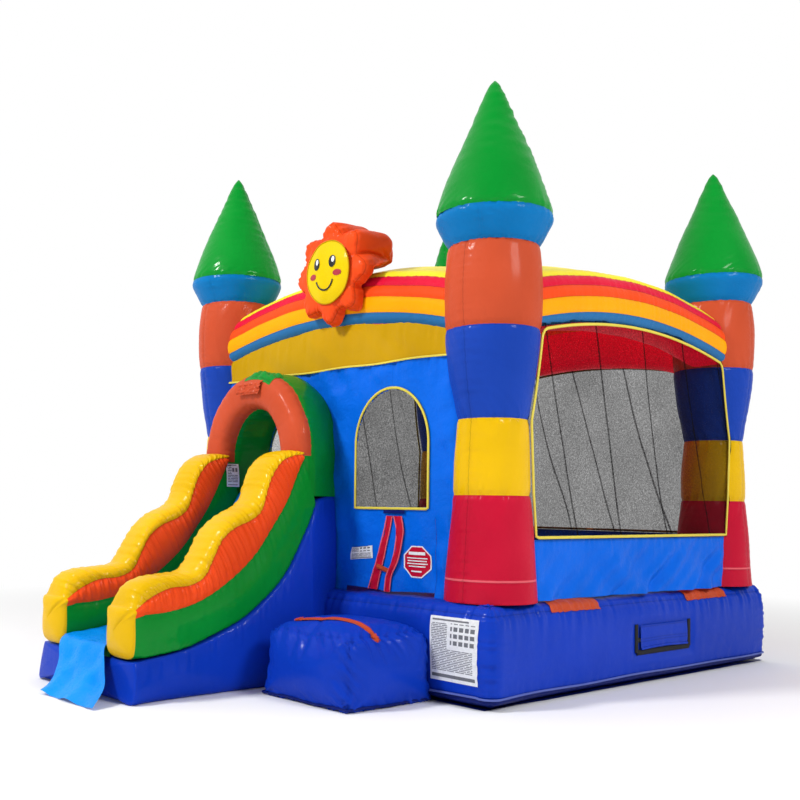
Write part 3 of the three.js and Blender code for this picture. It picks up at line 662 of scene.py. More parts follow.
def base_chamber():
    """The deep blue base: bulging sides, gathered top edge, piped bottom edge, sewn corners."""
    columns = 900
    line, out = around(BASE.x, BASE.y, BASE_CORNER, columns)
    top = BASE.z
    profile = smooth_line([(-0.16, 0.012), (-0.07, 0.014), (-0.012, 0.04), (0.0, 0.075), (0.008, 0.20),
                           (0.010, 0.36), (-0.002, 0.50), (-0.030, 0.575), (-0.085, top - 0.004), (-0.17, top)], 66)
    inward, height = profile[:, 0], profile[:, 1]
    points = np.zeros((len(profile), columns, 3))
    points[..., :2] = line[None] + out[None] * inward[:, None, None]
    points[..., 2] = height[:, None]
    arc = np.linspace(0, 4 * (BASE.x + BASE.y), columns)[None]
    run = run_along(profile)[:, None]
    below_top = np.abs(run - run[np.abs(height - BASE_SEAM).argmin()])
    above_foot = np.abs(run - run[np.abs(height - FOOT_SEAM).argmin()])
    corner = np.abs(np.abs(line[:, 0]) - BASE.x + 0.03) + np.abs(np.abs(line[:, 1]) - BASE.y + 0.03)
    push = pucker(below_top, arc + 0 * run, depth=0.0075, spacing=0.075, reach=0.075, seed=5)
    push += pucker(above_foot, arc + 0 * run, depth=0.002, spacing=0.10, reach=0.04, pinch=0, seed=6)
    push += pucker(corner[None], run + 0 * corner[None], depth=0.010, spacing=0.06, reach=0.10, seed=7)
    push += 0.006 * ripples(points, 0.7, 8) * (height[:, None] > 0.05)
    points += normals(points, True) * push[..., None] * (height > 0.02)[:, None, None]
    seam = np.minimum(np.minimum(below_top, above_foot), corner[None])
    # Below the foot seam the skin is navy: painted shade where the vinyl curls under.
    bands = (height[:-1] < 0.062).astype(int)[:, None]
    points[..., 0] = calmed_for_vent(points)
    points[..., 0] += flare(points[..., 0], points[..., 1])
    skin = grid("base_skin", points, [BLUE, NAVY], bands=bands, wrap=True, seam=seam, along=arc + 0 * run,
                replaced=["base_chamber"], fill=1.0)
    piping, face = around(BASE.x + 0.006, BASE.y + 0.006, BASE_CORNER, 500)
    wavy = 0.07 + 0.005 * np.sin(np.linspace(0, 61, 500)) * np.sin(np.linspace(0, 17, 500))
    piping[:, 0] += flare(piping[:, 0], piping[:, 1])
    path = np.column_stack([piping, wavy])
    ribbon("base_piping", path, np.column_stack([face, 0 * wavy]), PIPING, 0.013, rise=0.007, closed=True)
    return skin


def jump_floor():
    """The floor inside: welted channels from side to side, meeting the base's top edge."""
    half_x, half_y = BASE.x - 0.15, BASE.y - 0.15
    channel_width = 0.40
    side = np.linspace(-1, 1, 220)
    x, y = np.meshgrid(side * half_x, side * half_y)
    swell = np.abs(np.sin(math.pi * y / channel_width)) ** 0.5
    edge = np.clip((1 - np.maximum(np.abs(x) / half_x, np.abs(y) / half_y)) / 0.06, 0, 1)
    points = np.stack([x, y, BASE.z - 0.004 + 0.034 * swell * edge], axis=2)
    points[..., 2] += 0.003 * ripples(points, 0.5, 9) * edge
    seam = np.abs((y + channel_width / 2) % channel_width - channel_width / 2)
    grid("floor_skin", points, [BLUE], seam=seam, along=x, replaced=["jump_floor"], fill=1.0)


def ground_sheet():
    """The heavy sheet under the base."""
    half_x, half_y = BASE.x - 0.02, BASE.y - 0.02
    side = np.linspace(-1, 1, 90)
    x, y = np.meshgrid(side * half_x, side * half_y)
    points = np.stack([x, y, 0.004 + 0 * x], axis=2)
    points[..., 2] += 0.002 * ripples(points, 0.3, 12)
    made = grid("ground_sheet_skin", points, [NAVY], replaced=["ground_sheet"])


base_skin = base_chamber()
jump_floor()
ground_sheet()

# ---- Walls: everything in a wall is drawn as (s, z), s running to the right as seen from outside ---
SIDE_TURN = {"front": 0.0, "right": math.pi / 2, "back": math.pi, "left": -math.pi / 2}


def on_wall(side, s, out, z):
    """Points on a side of the house, from s along it, out from the middle and height z."""
    cos, sin = math.cos(SIDE_TURN[side]), math.sin(SIDE_TURN[side])
    s, out, z = np.broadcast_arrays(s, out, z)
    return np.stack([s * cos + out * sin, s * sin - out * cos, z], axis=-1)


def outward(side):
    """The way a side of the house faces."""
    turn = SIDE_TURN[side]
    return np.array([math.sin(turn), -math.cos(turn), 0.0])


def arch_line(s):
    """The height of the beams' lower line at s."""
    return ARCH_LOW - ARCH_SAG * s * s


def tower_edge(z):
    """Where a wall meets the tower beside it, at each height."""
    radii, heights = np.array(WAIST).T
    radius = np.interp(z, heights, radii) + 0.006
    return TOWER - np.sqrt(np.maximum(radius**2 - (WALL - TOWER) ** 2, 0.0))


def beside_tower(points):
    """Wall points moved along with the back left tower's bowed shaft where they meet it."""
    away = np.hypot(points[..., 0] + TOWER, points[..., 1] - TOWER)
    share = np.clip((0.95 - away) / 0.55, 0, 1)
    share = share * share * (3 - 2 * share) * shaft_bow(points[..., 2])
    points[..., :2] += share[..., None] * np.array(BACK_LEFT_LEAN)
    return points


def wall_piece(name, side, s_range, z_range, material, keep=None, depth=None, step=0.014, out=None, seam=None,
               **rest):
    """A fabric panel in a wall. keep picks its cells and depth moves it in or out."""
    s = np.arange(*s_range, step)
    z = np.arange(*z_range, step)
    s, z = np.append(s, s_range[1]), np.append(z, z_range[1])
    ss, zz = np.meshgrid(s, z)
    plane = WALL if out is None else out
    deep = depth(ss, zz) if depth else 0 * ss
    points = beside_tower(on_wall(side, ss, plane + deep, zz))
    middle_s, middle_z = (ss[1:, 1:] + ss[:-1, :-1]) / 2, (zz[1:, 1:] + zz[:-1, :-1]) / 2
    mask = keep(middle_s, middle_z) if keep else None
    return grid(name, points, [material], keep=mask, seam=seam(ss, zz) if seam else None, along=ss + zz,
                **rest)


def under_arch(s, z):
    """The part of a wall below the beam and between the towers, with a little to tuck in."""
    return (z < arch_line(s) + 0.03) & (np.abs(s) < tower_edge(z) + 0.03)


def window_path():
    """The outline of a side window: along the sill, up beside the towers, over under the arch."""
    z = np.linspace(SILL + 0.013, 2.31, 60)
    up = np.column_stack([tower_edge(z) - 0.012, z])
    s = np.linspace(up[-1, 0], -up[-1, 0], 80)
    over = np.column_stack([s, arch_line(s) - 0.004])
    down = up[::-1] * [-1, 1]
    return evenly(np.vstack([up, over[1:-1], down, up[:1]]), 200)[:-1]


def folds(seed, depth):
    """Loose hanging fabric: soft upright folds."""
    def offset(s, z):
        spots = np.stack([s * 3.2, 0 * s, (z - 1.5) * 0.7], axis=-1)
        return depth * ripples(spots, 0.75, seed) + 0.4 * depth * ripples(spots * 2.6, 0.75, seed + 1)
    return offset


def skirt_folds(seed):
    """A skirt sewn to the window's binding: small puckers, then slanting folds, spread over the base."""
    def offset(s, z):
        drop = np.clip((SILL - z) / 0.39, 0, 1)
        sewn = pucker(SILL - z, s, depth=0.005, spacing=0.08, reach=0.08, pinch=0.0, seed=seed)
        slant = np.stack([s + 0.9 * z, 0 * s, 0.25 * z - 0.1 * s], axis=-1)
        other = np.stack([s - 1.3 * z, 0 * s, 0.3 * z + 2], axis=-1)
        creased = 0.028 * ripples(slant, 0.46, seed + 1) + 0.016 * ripples(other, 0.24, seed + 2)
        beside = np.clip((tower_edge(z) - np.abs(s)) / 0.10, 0, 1)
        into_tower = np.clip((np.abs(s) - tower_edge(z) + 0.01) / 0.04, 0, 1)
        return sewn + beside * (creased * drop**0.7 + 0.02 * drop**3) - 0.04 * into_tower
    return offset


def side_wall(side, seed):
    """A wall that is one large netted window over a short skirt."""
    skirt = wall_piece(f"wall_skirt_{side}_cloth", side, (-1.26, 1.26), (0.615, SILL), SKY, keep=under_arch,
                       depth=skirt_folds(seed), seam=lambda s, z: SILL - 0.012 - z,
                       replaced=[f"wall_skirt_{side}"])
    net = wall_piece(f"window_net_{side}_cloth", side, (-1.30, 1.30), (SILL, 2.50), NET, keep=under_arch,
                     depth=folds(seed + 3, 0.007), step=0.02, replaced=[f"window_net_{side}"])
    path = window_path()
    edge = beside_tower(on_wall(side, path[:, 0], WALL + 0.012, path[:, 1]))
    ribbon(f"window_trim_{side}_binding", edge, outward(side), PALE, 0.020, rise=0.006, closed=True,
           replaced=[f"window_trim_{side}"])


for number, side in enumerate(("right", "back", "left")):
    side_wall(side, 21 + 9 * number)


# ---- Front wall ----------------------------------------------------------------------------------
PANEL_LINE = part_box("front_panel_yellow")[0].z
DOOR_LOW, DOOR_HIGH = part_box("door_flap_left")[0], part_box("door_flap_right")[1]
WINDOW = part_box("window_trim_front")
WINDOW_X = (WINDOW[0].x + WINDOW[1].x) / 2
WINDOW_HALF = (WINDOW[1].x - WINDOW[0].x) / 2
WINDOW_SPRING = 1.62
ARCH_X, ARCH_IN, SPRING, ARCH_IN_TOP = -0.35, 0.30, 1.56, 1.885


def arched_path(middle, half, sill, spring, top):
    """The outline of an arched opening."""
    a = np.linspace(0, math.pi, 40)
    over = np.column_stack([middle + half * np.cos(a), spring + (top - spring) * np.sin(a)])
    line = np.vstack([[[middle - half, sill], [middle + half, sill]], over, [[middle - half, sill]]])
    return evenly(line, 121)[:-1]


def arch_height(s, middle, half, spring, top):
    """How far a doorway or window reaches up at s; nothing outside it."""
    part = np.clip(1 - ((s - middle) / half) ** 2, 0, None)
    return np.where(part > 0, spring + (top - spring) * np.sqrt(part), -1.0)


def in_window(s, z, grow=0.0):
    """The front window's opening, grown by a margin."""
    top = arch_height(s, WINDOW_X, WINDOW_HALF + grow, WINDOW_SPRING, WINDOW[1].z + grow)
    return (z > WINDOW[0].z - grow) & (z < top)


def front_blue(s, z):
    """The blue wall: all between the towers but the window, the slide's doorway and the door."""
    doorway = (z > 1.28) & (z < arch_height(s, ARCH_X, ARCH_IN, SPRING, ARCH_IN_TOP))
    door = (s > DOOR_LOW.x) & (s < DOOR_HIGH.x) & (z < DOOR_HIGH.z)
    return (np.abs(s) < tower_edge(z) + 0.03) & ~in_window(s, z, -0.012) & ~doorway & ~door


def front_folds(s, z):
    """The blue wall's folds: puckers under its top seam, a wavy hem and slanting creases round the window."""
    spots = np.stack([s, 0 * s, z], axis=-1)
    under_line = pucker(PANEL_LINE - z, s, depth=0.008, spacing=0.08, reach=0.10, pinch=0.0, seed=61)
    hem = 0.016 * np.clip((0.95 - z) / 0.3, 0, 1) * np.sin(19 * s + 1.5 * np.sin(4 * s))
    slant = np.stack([1.5 * s + 0.8 * z, 0 * s, z - 0.5 * s], axis=-1)
    beside = np.maximum(np.abs(s - WINDOW_X) - WINDOW_HALF, np.maximum(WINDOW[0].z - z, z - WINDOW[1].z))
    free = np.clip(beside / 0.12, 0, 1)
    folded = under_line + hem + free * (0.010 * ripples(slant, 0.42, 62) + 0.004 * ripples(spots, 0.15, 63))
    into_tower = np.clip((np.abs(s) - tower_edge(z) + 0.035) / 0.065, 0, 1)
    return folded * (1 - into_tower) - 0.05 * into_tower**2


def yellow_folds(s, z):
    """The yellow panel's folds: puckers under the beam and slanting creases."""
    sewn = pucker(arch_line(s) - z, s, depth=0.007, spacing=0.09, reach=0.09, pinch=0.0, seed=64)
    return sewn + 0.006 * ripples(np.stack([s + 1.2 * z, 0 * s, 0.5 * z], axis=-1), 0.26, 65)


def front_seam(s, z):
    """The distance to the blue wall's seams: its top edge, and one up from the window's crown."""
    return np.minimum(np.abs(PANEL_LINE - 0.02 - z), np.where(z > WINDOW[1].z, np.abs(s - WINDOW_X), 1.0))


DOOR_FOOT = 0.655
FACING_LEFT = [(0.694, 1.14), (0.680, 1.05), (0.653, 0.945), (0.620, 0.84), (0.580, 0.75), (0.545, 0.665)]
FACING_RIGHT = [(0.714, 1.14), (0.742, 1.05), (0.735, 0.945), (0.710, 0.823), (0.665, 0.737), (0.65, 0.628)]
# Each half's outer edge, then from the top down: its free edge, its facing strip's edge, the strip's widths.
DOOR_HALVES = {
    "left": (DOOR_LOW.x, [(s + 0.004, z) for s, z in FACING_RIGHT], FACING_LEFT,
             [0.050, 0.056, 0.066, 0.085]),
    "right": (DOOR_HIGH.x, FACING_RIGHT, FACING_RIGHT, [0.070, 0.056, 0.048, 0.048]),
}


def hang_on_door(pieces):
    """Bakes the world transform of each of a door half's pieces into its mesh."""
    for piece in pieces:
        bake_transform(piece)


def door_half(side):
    """A soft half of the door, hanging from its outer edge; its free edge carries a red facing strip."""
    outer, free_line, facing_line, strip = DOOR_HALVES[side]
    rows, columns = 60, 36
    free = smooth_line(free_line, rows)
    share = np.linspace(0, 1, columns)
    s = outer + (free[:, :1] - outer) * share[None]
    top = DOOR_HIGH.z + 0.006
    bottom = np.minimum(DOOR_FOOT - 0.012 * np.sin(23 * s + 1.0), free[-1, 1] + 0.02 * (1 - share[None]))
    drop = np.linspace(0, 1, rows)[:, None]
    z = top + (bottom - top) * drop
    loose = 0.020 * share[None] * drop * np.sin(19 * s + 1.3)
    still = front_folds(s, z) * (1 - share[None])
    under = 0.006 * share[None] ** 6 if side == "left" else 0.0
    points = on_wall("front", s, WALL + 0.003 + loose + still - under, z)
    cloth = grid(f"door_flap_{side}_cloth", points, [SKY], body=None, replaced=[f"door_flap_{side}"],
                 seam=np.abs(share[None] - 1) * 0.3 + 0 * z, along=z)
    reach = (smooth_line(facing_line, rows)[:, 0] - outer) / (free[:, 0] - outer)
    inset = np.clip(reach, 0, 1) * (columns - 1)
    low = np.minimum(inset.astype(int), columns - 2)
    part = (inset - low)[:, None]
    row = np.arange(rows)
    rim = points[row, low] * (1 - part) + points[row, low + 1] * part + [0, -0.005, 0]
    widths = np.interp(np.linspace(0, 1, rows), np.linspace(0, 1, len(strip)), strip)
    hang_on_door([cloth, *facing_strip(side, rim, widths)])


def facing_strip(side, rim, widths):
    """A door half's red facing inwards from its rim, bound on both edges; the left one carries the tie."""
    lane = np.linspace(0, 1, 8)[None, :, None]
    inner = rim - np.array([1 if side == "left" else -1, 0, 0]) * widths[:, None]
    facing = rim[:, None] * (1 - lane) + inner[:, None] * lane
    facing[..., 1] -= 0.006 * np.sin(math.pi * lane[..., 0]) + 0.005 * ripples(facing, 0.09, 67)
    near = widths[:, None] * np.minimum(lane[..., 0], 1 - lane[..., 0])
    ahead = (0, -1, 0)
    pieces = [grid(f"door_flap_{side}_facing", facing, [RED], body=None, seam=near, along=facing[..., 2])]
    for number, edge in enumerate((rim, inner)):
        pieces.append(ribbon(f"door_flap_{side}_binding_{number + 1}", edge + [0, -0.004, 0], ahead, CORAL, 0.010,
                             rise=0.003, body=None))
    if side == "left":
        sewn_at = rim[np.abs(rim[:, 2] - 0.785).argmin()] + [0, -0.014, 0]
        path = sewn_at + np.linspace(-0.035, 0.085, 14)[:, None] * [1, 0, -0.25]
        pieces.append(ribbon("door_tie_strap", path, ahead, ORANGE, 0.032, rise=0.004, body=None))
    return pieces


def yellow_panel():
    """The panel between the blue wall and the arch beam, tucked in under the beam."""
    share = np.linspace(0, 1, 44)[:, None]
    across = np.linspace(-1, 1, 190)[None]
    z = PANEL_LINE + (arch_line(1.12 * across) + 0.022 - PANEL_LINE) * share
    s = across * (tower_edge(z) + 0.03)
    points = on_wall("front", s, WALL + yellow_folds(s, z) * (1 - share**3) - 0.014 * share**5, z)
    # The panel's darker yellow is painted shade under the beam.
    cloth = grid("front_panel_yellow_cloth", points, [OCHRE_AND_SHADED_YELLOW], seam=z - PANEL_LINE, along=s,
                 replaced=["front_panel_yellow"])


def blue_wall():
    """The blue wall with its doorway, window and door cut out."""
    cloth = wall_piece("front_panel_blue_cloth", "front", (-1.26, 1.26), (0.606, PANEL_LINE), SKY, keep=front_blue,
                       depth=front_folds, step=0.012, seam=front_seam, replaced=["front_panel_blue"])


def front_window():
    """The arched window's net and its pale binding."""
    (left, _, sill), (right, _, top) = WINDOW
    net = wall_piece("window_net_front_cloth", "front", (left, right), (sill, top), FRONT_NET, keep=in_window,
                     depth=folds(70, 0.006), replaced=["window_net_front"])
    outline = arched_path(WINDOW_X, WINDOW_HALF - 0.004, sill, WINDOW_SPRING, top)
    ribbon("window_trim_front_binding", on_wall("front", outline[:, 0], WALL + 0.010, outline[:, 1]),
           outward("front"), PALE, 0.018, closed=True, replaced=["window_trim_front"])


def panel_piping():
    """The pale piping between the yellow panel and the blue wall."""
    s = np.linspace(-1.2, 1.2, 120)
    path = on_wall("front", s, WALL + 0.012, PANEL_LINE + 0.004 * np.sin(9 * s))
    ribbon("front_panel_piping", path, outward("front"), PALE, 0.014, rise=0.005)


yellow_panel()
blue_wall()
front_window()
panel_piping()
for half in DOOR_HALVES:
    door_half(half)


# ---- Arch beams and roof -------------------------------------------------------------------------
STRIPE_HEIGHTS = (0.080, 0.180, 0.264, 0.334, 0.383)  # the stripes' upper edges above the beam's lower line
BEAM_COLOURS = [STEEL_BLUE, AMBER, SCARLET, CRIMSON, LEMON, GLOWING_LINING]


def arch_beam(side, seed):
    """A striped beam that bows over a wall, puffed between its stripes."""
    section = smooth_line([(1.560, 0.004), (1.592, 0.055), (1.602, 0.13), (1.596, 0.20), (1.575, 0.27),
                           (1.535, 0.335), (1.48, 0.375), (1.42, 0.385), (1.33, 0.36), (1.262, 0.28),
                           (1.245, 0.17), (1.275, 0.05), (1.36, -0.012), (1.46, -0.012), (1.560, 0.004)], 91)[:-1]
    out, up = section[:, 0], section[:, 1]
    outer_side = up[:int(up.argmax()) + 1]
    marks = [0] + [int(np.abs(outer_side - height).argmin()) for height in STRIPE_HEIGHTS]
    length = run_along(section)
    near = np.abs(length[:, None] - length[marks][None]).min(1)
    s = np.linspace(-1.23, 1.23, 170)
    points = on_wall(side, s[:, None], out[None], arch_line(s)[:, None] + up[None])
    push = 0.004 * np.clip(np.sin(np.clip(near / 0.09, 0, 1) * math.pi / 2), 0, 1)[None] + 0 * s[:, None]
    push = push + pucker(near[None] + 0 * push, s[:, None] + 0 * push, depth=0.0025, spacing=0.045, reach=0.03,
                         pinch=0.004, width=0.010, seed=seed)
    push += 0.004 * ripples(points, 0.5, seed + 1)
    facing = normals(points, True)
    points = points + facing * push[..., None] * np.sign((facing[:, 8] @ outward(side)).mean())
    place = np.arange(len(section))
    stripe = np.searchsorted(np.array(marks[1:]), place + 0.5)
    # The beam's inner side takes the glowing lining, painted light for daylight through the beam.
    inner_side = place > marks[-1] + 14
    bands = np.where(inner_side, 5, np.minimum(stripe, 4))[None]
    grid(f"arch_beam_{side}_skin", points, BEAM_COLOURS, bands=bands, wrap=True, seam=near[None], along=s[:, None],
         replaced=[f"arch_beam_{side}"], fill=1.0)


for number, side in enumerate(("front", "right", "back", "left")):
    arch_beam(side, 81 + 5 * number)


def roof_grid(rise):
    """A square of cloth between the beams, its edge tucked in just under their crests."""
    half = 1.42
    side = np.linspace(-half, half, 150)
    x, y = np.meshgrid(side, side)
    z = ARCH_HIGH + rise - ARCH_SAG * (x * x + y * y)
    points = np.stack([x, y, z], axis=2)
    inner = np.clip((half - np.maximum(np.abs(x), np.abs(y))) / 0.12, 0, 1)
    points[..., 2] += 0.010 * inner * ripples(points - [0, 0, rise], 0.8, 99)
    return points


def roof():
    """The red roof panel, sewn along its diagonals."""
    points = roof_grid(0.204)
    x, y = points[..., 0], points[..., 1]
    diagonal = np.minimum(np.abs(x - y), np.abs(x + y)) / math.sqrt(2)
    points[..., 2] += pucker(diagonal, x + y, depth=0.006, seed=98)
    # The roof takes the glowing lining, painted light for daylight through the roof.
    panel_cloth = grid("roof_panel_cloth", points, [GLOWING_LINING], seam=diagonal, along=x + y,
                       replaced=["roof_panel"])


def roof_border():
    """A yellow facing round the roof's outer side."""
    points = roof_grid(0.213)
    x, y = points[..., 0], points[..., 1]
    wide = np.maximum(np.abs(x), np.abs(y))
    inner_edge = 0.60
    grid("roof_border_cloth", points, [LEMON], seam=np.abs(wide - inner_edge), along=x + y,
         keep=wide[1:, 1:] > inner_edge)


roof()
roof_border()

# ---- Slide ---------------------------------------------------------------------------------------
# Lines seen from the side, from the foot up to the arch, as (y, z).
SLIDE_BLUE = [(-3.270, 0.258), (-2.875, 0.313), (-2.506, 0.447), (-2.272, 0.591), (-2.090, 0.776),
              (-1.945, 1.018), (-1.830, 1.220), (-1.70, 1.268)]
SLIDE_GREEN = [(-3.268, 0.522), (-3.021, 0.538), (-2.79, 0.593), (-2.568, 0.713), (-2.396, 0.848),
               (-2.24, 1.036), (-2.10, 1.247), (-2.01, 1.43), (-1.975, 1.50)]
SLIDE_ORANGE = [(-3.262, 0.560), (-3.16, 0.628), (-3.024, 0.680), (-2.875, 0.692), (-2.768, 0.742),
                (-2.704, 0.855), (-2.64, 0.966), (-2.54, 1.044), (-2.410, 1.096), (-2.325, 1.160),
                (-2.280, 1.285), (-2.235, 1.395), (-2.16, 1.488), (-2.06, 1.530), (-1.985, 1.542)]
SLIDE_RIDGE = [(-3.300, 0.575), (-3.245, 0.690), (-3.137, 0.742), (-2.98, 0.760), (-2.84, 0.782),
               (-2.746, 0.891), (-2.654, 1.032), (-2.54, 1.127), (-2.403, 1.192), (-2.324, 1.278),
               (-2.286, 1.380), (-2.226, 1.491), (-2.123, 1.553), (-2.02, 1.571), (-1.935, 1.566)]
SLIDE_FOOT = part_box("slide_base")
STATIONS = 240


def nose(first, heart, count, reach, shrink):
    """Rings that close a piece's open front, from its tip back: they shrink and swell forwards."""
    rings = []
    for t in np.linspace(0, 0.999, count)[1:]:
        ring = first + (heart - first) * (1 - math.cos(t * math.pi / 2)) * np.array(shrink)
        ring[:, 1] -= reach * math.sin(t * math.pi / 2)
        rings.append(ring)
    return np.array(rings[::-1])


def bumper_section(outer, inner):
    """A bumper's rings along the slide, from seam to seam, and how many points each colour band takes."""
    lines = ([*SLIDE_BLUE[:-2], (-1.86, 1.20)], SLIDE_GREEN, SLIDE_ORANGE, SLIDE_RIDGE)
    low, mid, high, ridge = (smooth_line(p, STATIONS) for p in lines)
    centre, half = (outer + inner) / 2, (outer - inner) / 2

    def strip(a, b, face, bulge, count):
        """A band between two lines, swelling out from one face of the bumper."""
        t = np.linspace(0, 1, count, endpoint=False)[None, :, None]
        line = a[:, None] * (1 - t) + b[:, None] * t
        x = centre + half * (face + face * bulge * np.sin(math.pi * t[..., 0])) + 0 * line[..., 0]
        return np.concatenate([x[..., None], line], axis=2)

    turn = np.linspace(0, math.pi, 37)[None, :]
    lift = np.sin(turn)[..., None] ** 0.85
    over = high[:, None] * (1 - lift) + ridge[:, None] * lift
    crown_x = centre + half * np.sign(np.cos(turn)) * np.abs(np.cos(turn)) ** 0.7 + 0 * over[..., 0]
    crown = np.concatenate([crown_x[..., None], over], axis=2)[:, :-1]
    floor_x = np.linspace(-1, 1, 10, endpoint=False)[None]
    under = np.concatenate([(centre + half * floor_x + 0 * low[:, :1])[..., None],
                            low[:, None] + 0 * floor_x[..., None]], axis=2)
    parts = (strip(low, mid, 1.0, 0.10, 14), strip(mid, high, 1.0, 0.13, 12), crown,
             strip(high, mid, -1.0, 0.13, 12), strip(mid, low, -1.0, 0.10, 14), under)
    return np.concatenate(parts, axis=1), [part.shape[1] for part in parts], run_along(ridge)[:, None]


def bumper(side, outer, inner, seed):
    """One side of the slide: a green band, an orange band and a humped yellow top, alike on both faces."""
    points, widths, run = bumper_section(outer, inner)
    bands = np.repeat([0, 1, 2, 1, 0, 0], widths)
    marks = np.cumsum([0] + widths)[:-1]
    loop = np.linalg.norm(np.roll(points[60], -1, 0) - points[60], axis=1)
    length = np.concatenate([[0], np.cumsum(loop)])[:-1]
    near = np.abs(length[:, None] - length[marks][None]).min(1)[None]
    crown_seam = np.abs(length[:, None] - length[marks[2:4]][None]).min(1)[None]
    facing = normals(points, True)
    flip = facing[80, 5, 0] * (outer - inner) < 0
    facing = -facing if flip else facing
    push = pucker(near, run, depth=0.002, spacing=0.05, reach=0.03, pinch=0.004, width=0.010, seed=seed)
    gathered = pucker(crown_seam, run, depth=0.010, spacing=0.036, reach=0.075, pinch=0.0, seed=seed + 2)
    push += gathered * np.where(bands == 0, 0.15, 1.0)
    push += 0.003 * ripples(points, 0.35, seed + 1)
    push *= np.clip(run / 0.10, 0, 1)
    points = points + facing * push[..., None]
    softened = 10  # rings over which the bands' seams soften towards the front
    for number in range(softened):
        hold = 1 - number / softened
        for _ in range(8):
            loop = points[number]
            points[number] = loop * (1 - hold / 2) + (np.roll(loop, 1, 0) + np.roll(loop, -1, 0)) * hold / 4
    heart = np.array([(outer + inner) / 2, points[0, :, 1].mean(), 0.42])
    front = nose(points[0], heart, 14, 0.062, (1, 1, 1))
    points = np.concatenate([front, points])
    yellow_front = np.full((len(front), len(bands)), 2)
    tint = np.concatenate([yellow_front, np.broadcast_to(bands, (STATIONS - 1, len(bands)))])
    unsewn_front = np.full((len(front), len(bands)), 0.2)
    seam = np.concatenate([unsewn_front, np.broadcast_to(near, (STATIONS, len(bands)))])
    grid(f"slide_bumper_{side}_skin", points, [GREEN, SCARLET, YELLOW], bands=tint, wrap=True, flip=flip,
         seam=seam, replaced=[f"slide_bumper_{side}", f"slide_wall_{side}"], fill=1.0)


def slide_body():
    """The blue body under the slide, standing on the ground, with a soft splayed foot."""
    top = smooth_line(SLIDE_BLUE, STATIONS)
    top = np.vstack([top, [[SLIDE_FOOT[1].y, 1.268]]])
    x0, x1 = SLIDE_FOOT[0].x, SLIDE_FOOT[1].x
    side = np.linspace(0, 1, 26, endpoint=False)
    across = np.linspace(0, 1, 16, endpoint=False)
    flat = 0 * across
    loops = []
    for y, z in top:
        splay = 0.035 * math.exp(-((y - top[0, 0]) / 0.20))
        bulge = 0.03 * np.sin(math.pi * side) ** 0.7
        low = splay * (1 - side) ** 2
        tuck = 0.125 * np.clip((y + 1.90) / 0.32, 0, 1)  # narrower where it runs in under the wall
        foot = 0.02 * np.exp(-side / 0.05) + tuck
        width = x1 - x0 - 2 * tuck
        right = np.column_stack([x1 + bulge + low - foot, y - 0.7 * low, z * side])
        lid = np.column_stack([x1 - tuck - width * across, y + flat, z - 0.01 + flat])
        left = np.column_stack([x0 - bulge - low + foot, y - 0.7 * low, z * side])[::-1]
        under = np.column_stack([x0 + tuck + width * across, y + flat, 0.003 + flat])
        loops.append(np.vstack([right, lid, left, under]))
    points = np.array(loops)
    facing = normals(points, True)
    facing = facing * np.sign(facing[60, 10, 0])
    height = points[..., 2]
    top_gap = np.abs(top[:, 1:] - height)
    push = pucker(top_gap, top[:, :1], depth=0.004, spacing=0.05, reach=0.06, pinch=0, seed=121)
    push += 0.007 * ripples(points, 0.6, 122)
    push *= np.clip(top_gap / 0.05, 0, 1)
    points = points + facing * (push * (height > 0.01))[..., None]
    heart = np.array([(x0 + x1) / 2, 0, 0.14])
    points = np.concatenate([nose(points[0], heart, 13, 0.045, (1, 0, 1)), points])
    points[..., 2] = np.maximum(points[..., 2], 0.002)
    grid("slide_base_skin", points, [BLUE], wrap=True, seam=np.full(points.shape[:2], 0.3),
         replaced=["slide_base"], fill=1.0)


LANE_LEFT, LANE_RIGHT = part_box("slide_bed")[0].x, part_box("slide_bed")[1].x


def lane_line(lift):
    """The slide's riding line, lifted off the body's line, from the lip to the platform."""
    line = smooth_line([*SLIDE_BLUE[:-1], (-1.77, 1.262), (-1.60, 1.268)], 160)
    ahead = np.gradient(line, axis=0)
    ahead /= np.linalg.norm(ahead, axis=1, keepdims=True)
    return line + lift * np.column_stack([-ahead[:, 1], ahead[:, 0]])


def slide_bed():
    """The green riding bed between the bumpers, in shallow channels."""
    line = lane_line(0.058)
    x = np.linspace(LANE_LEFT - 0.01, LANE_RIGHT + 0.01, 40)
    swell = 0.006 * np.abs(np.sin(math.pi * (x - LANE_LEFT) / 0.195)) ** 0.6
    points = np.stack([x + 0 * line[:, :1], line[:, :1] + 0 * x, line[:, 1:] + swell], axis=2)
    front = points[:1].copy()
    front[..., 2] = 0.25
    points = np.concatenate([front, points])
    grid("slide_bed_skin", points, [GREEN], replaced=["slide_bed"], fill=0.9)


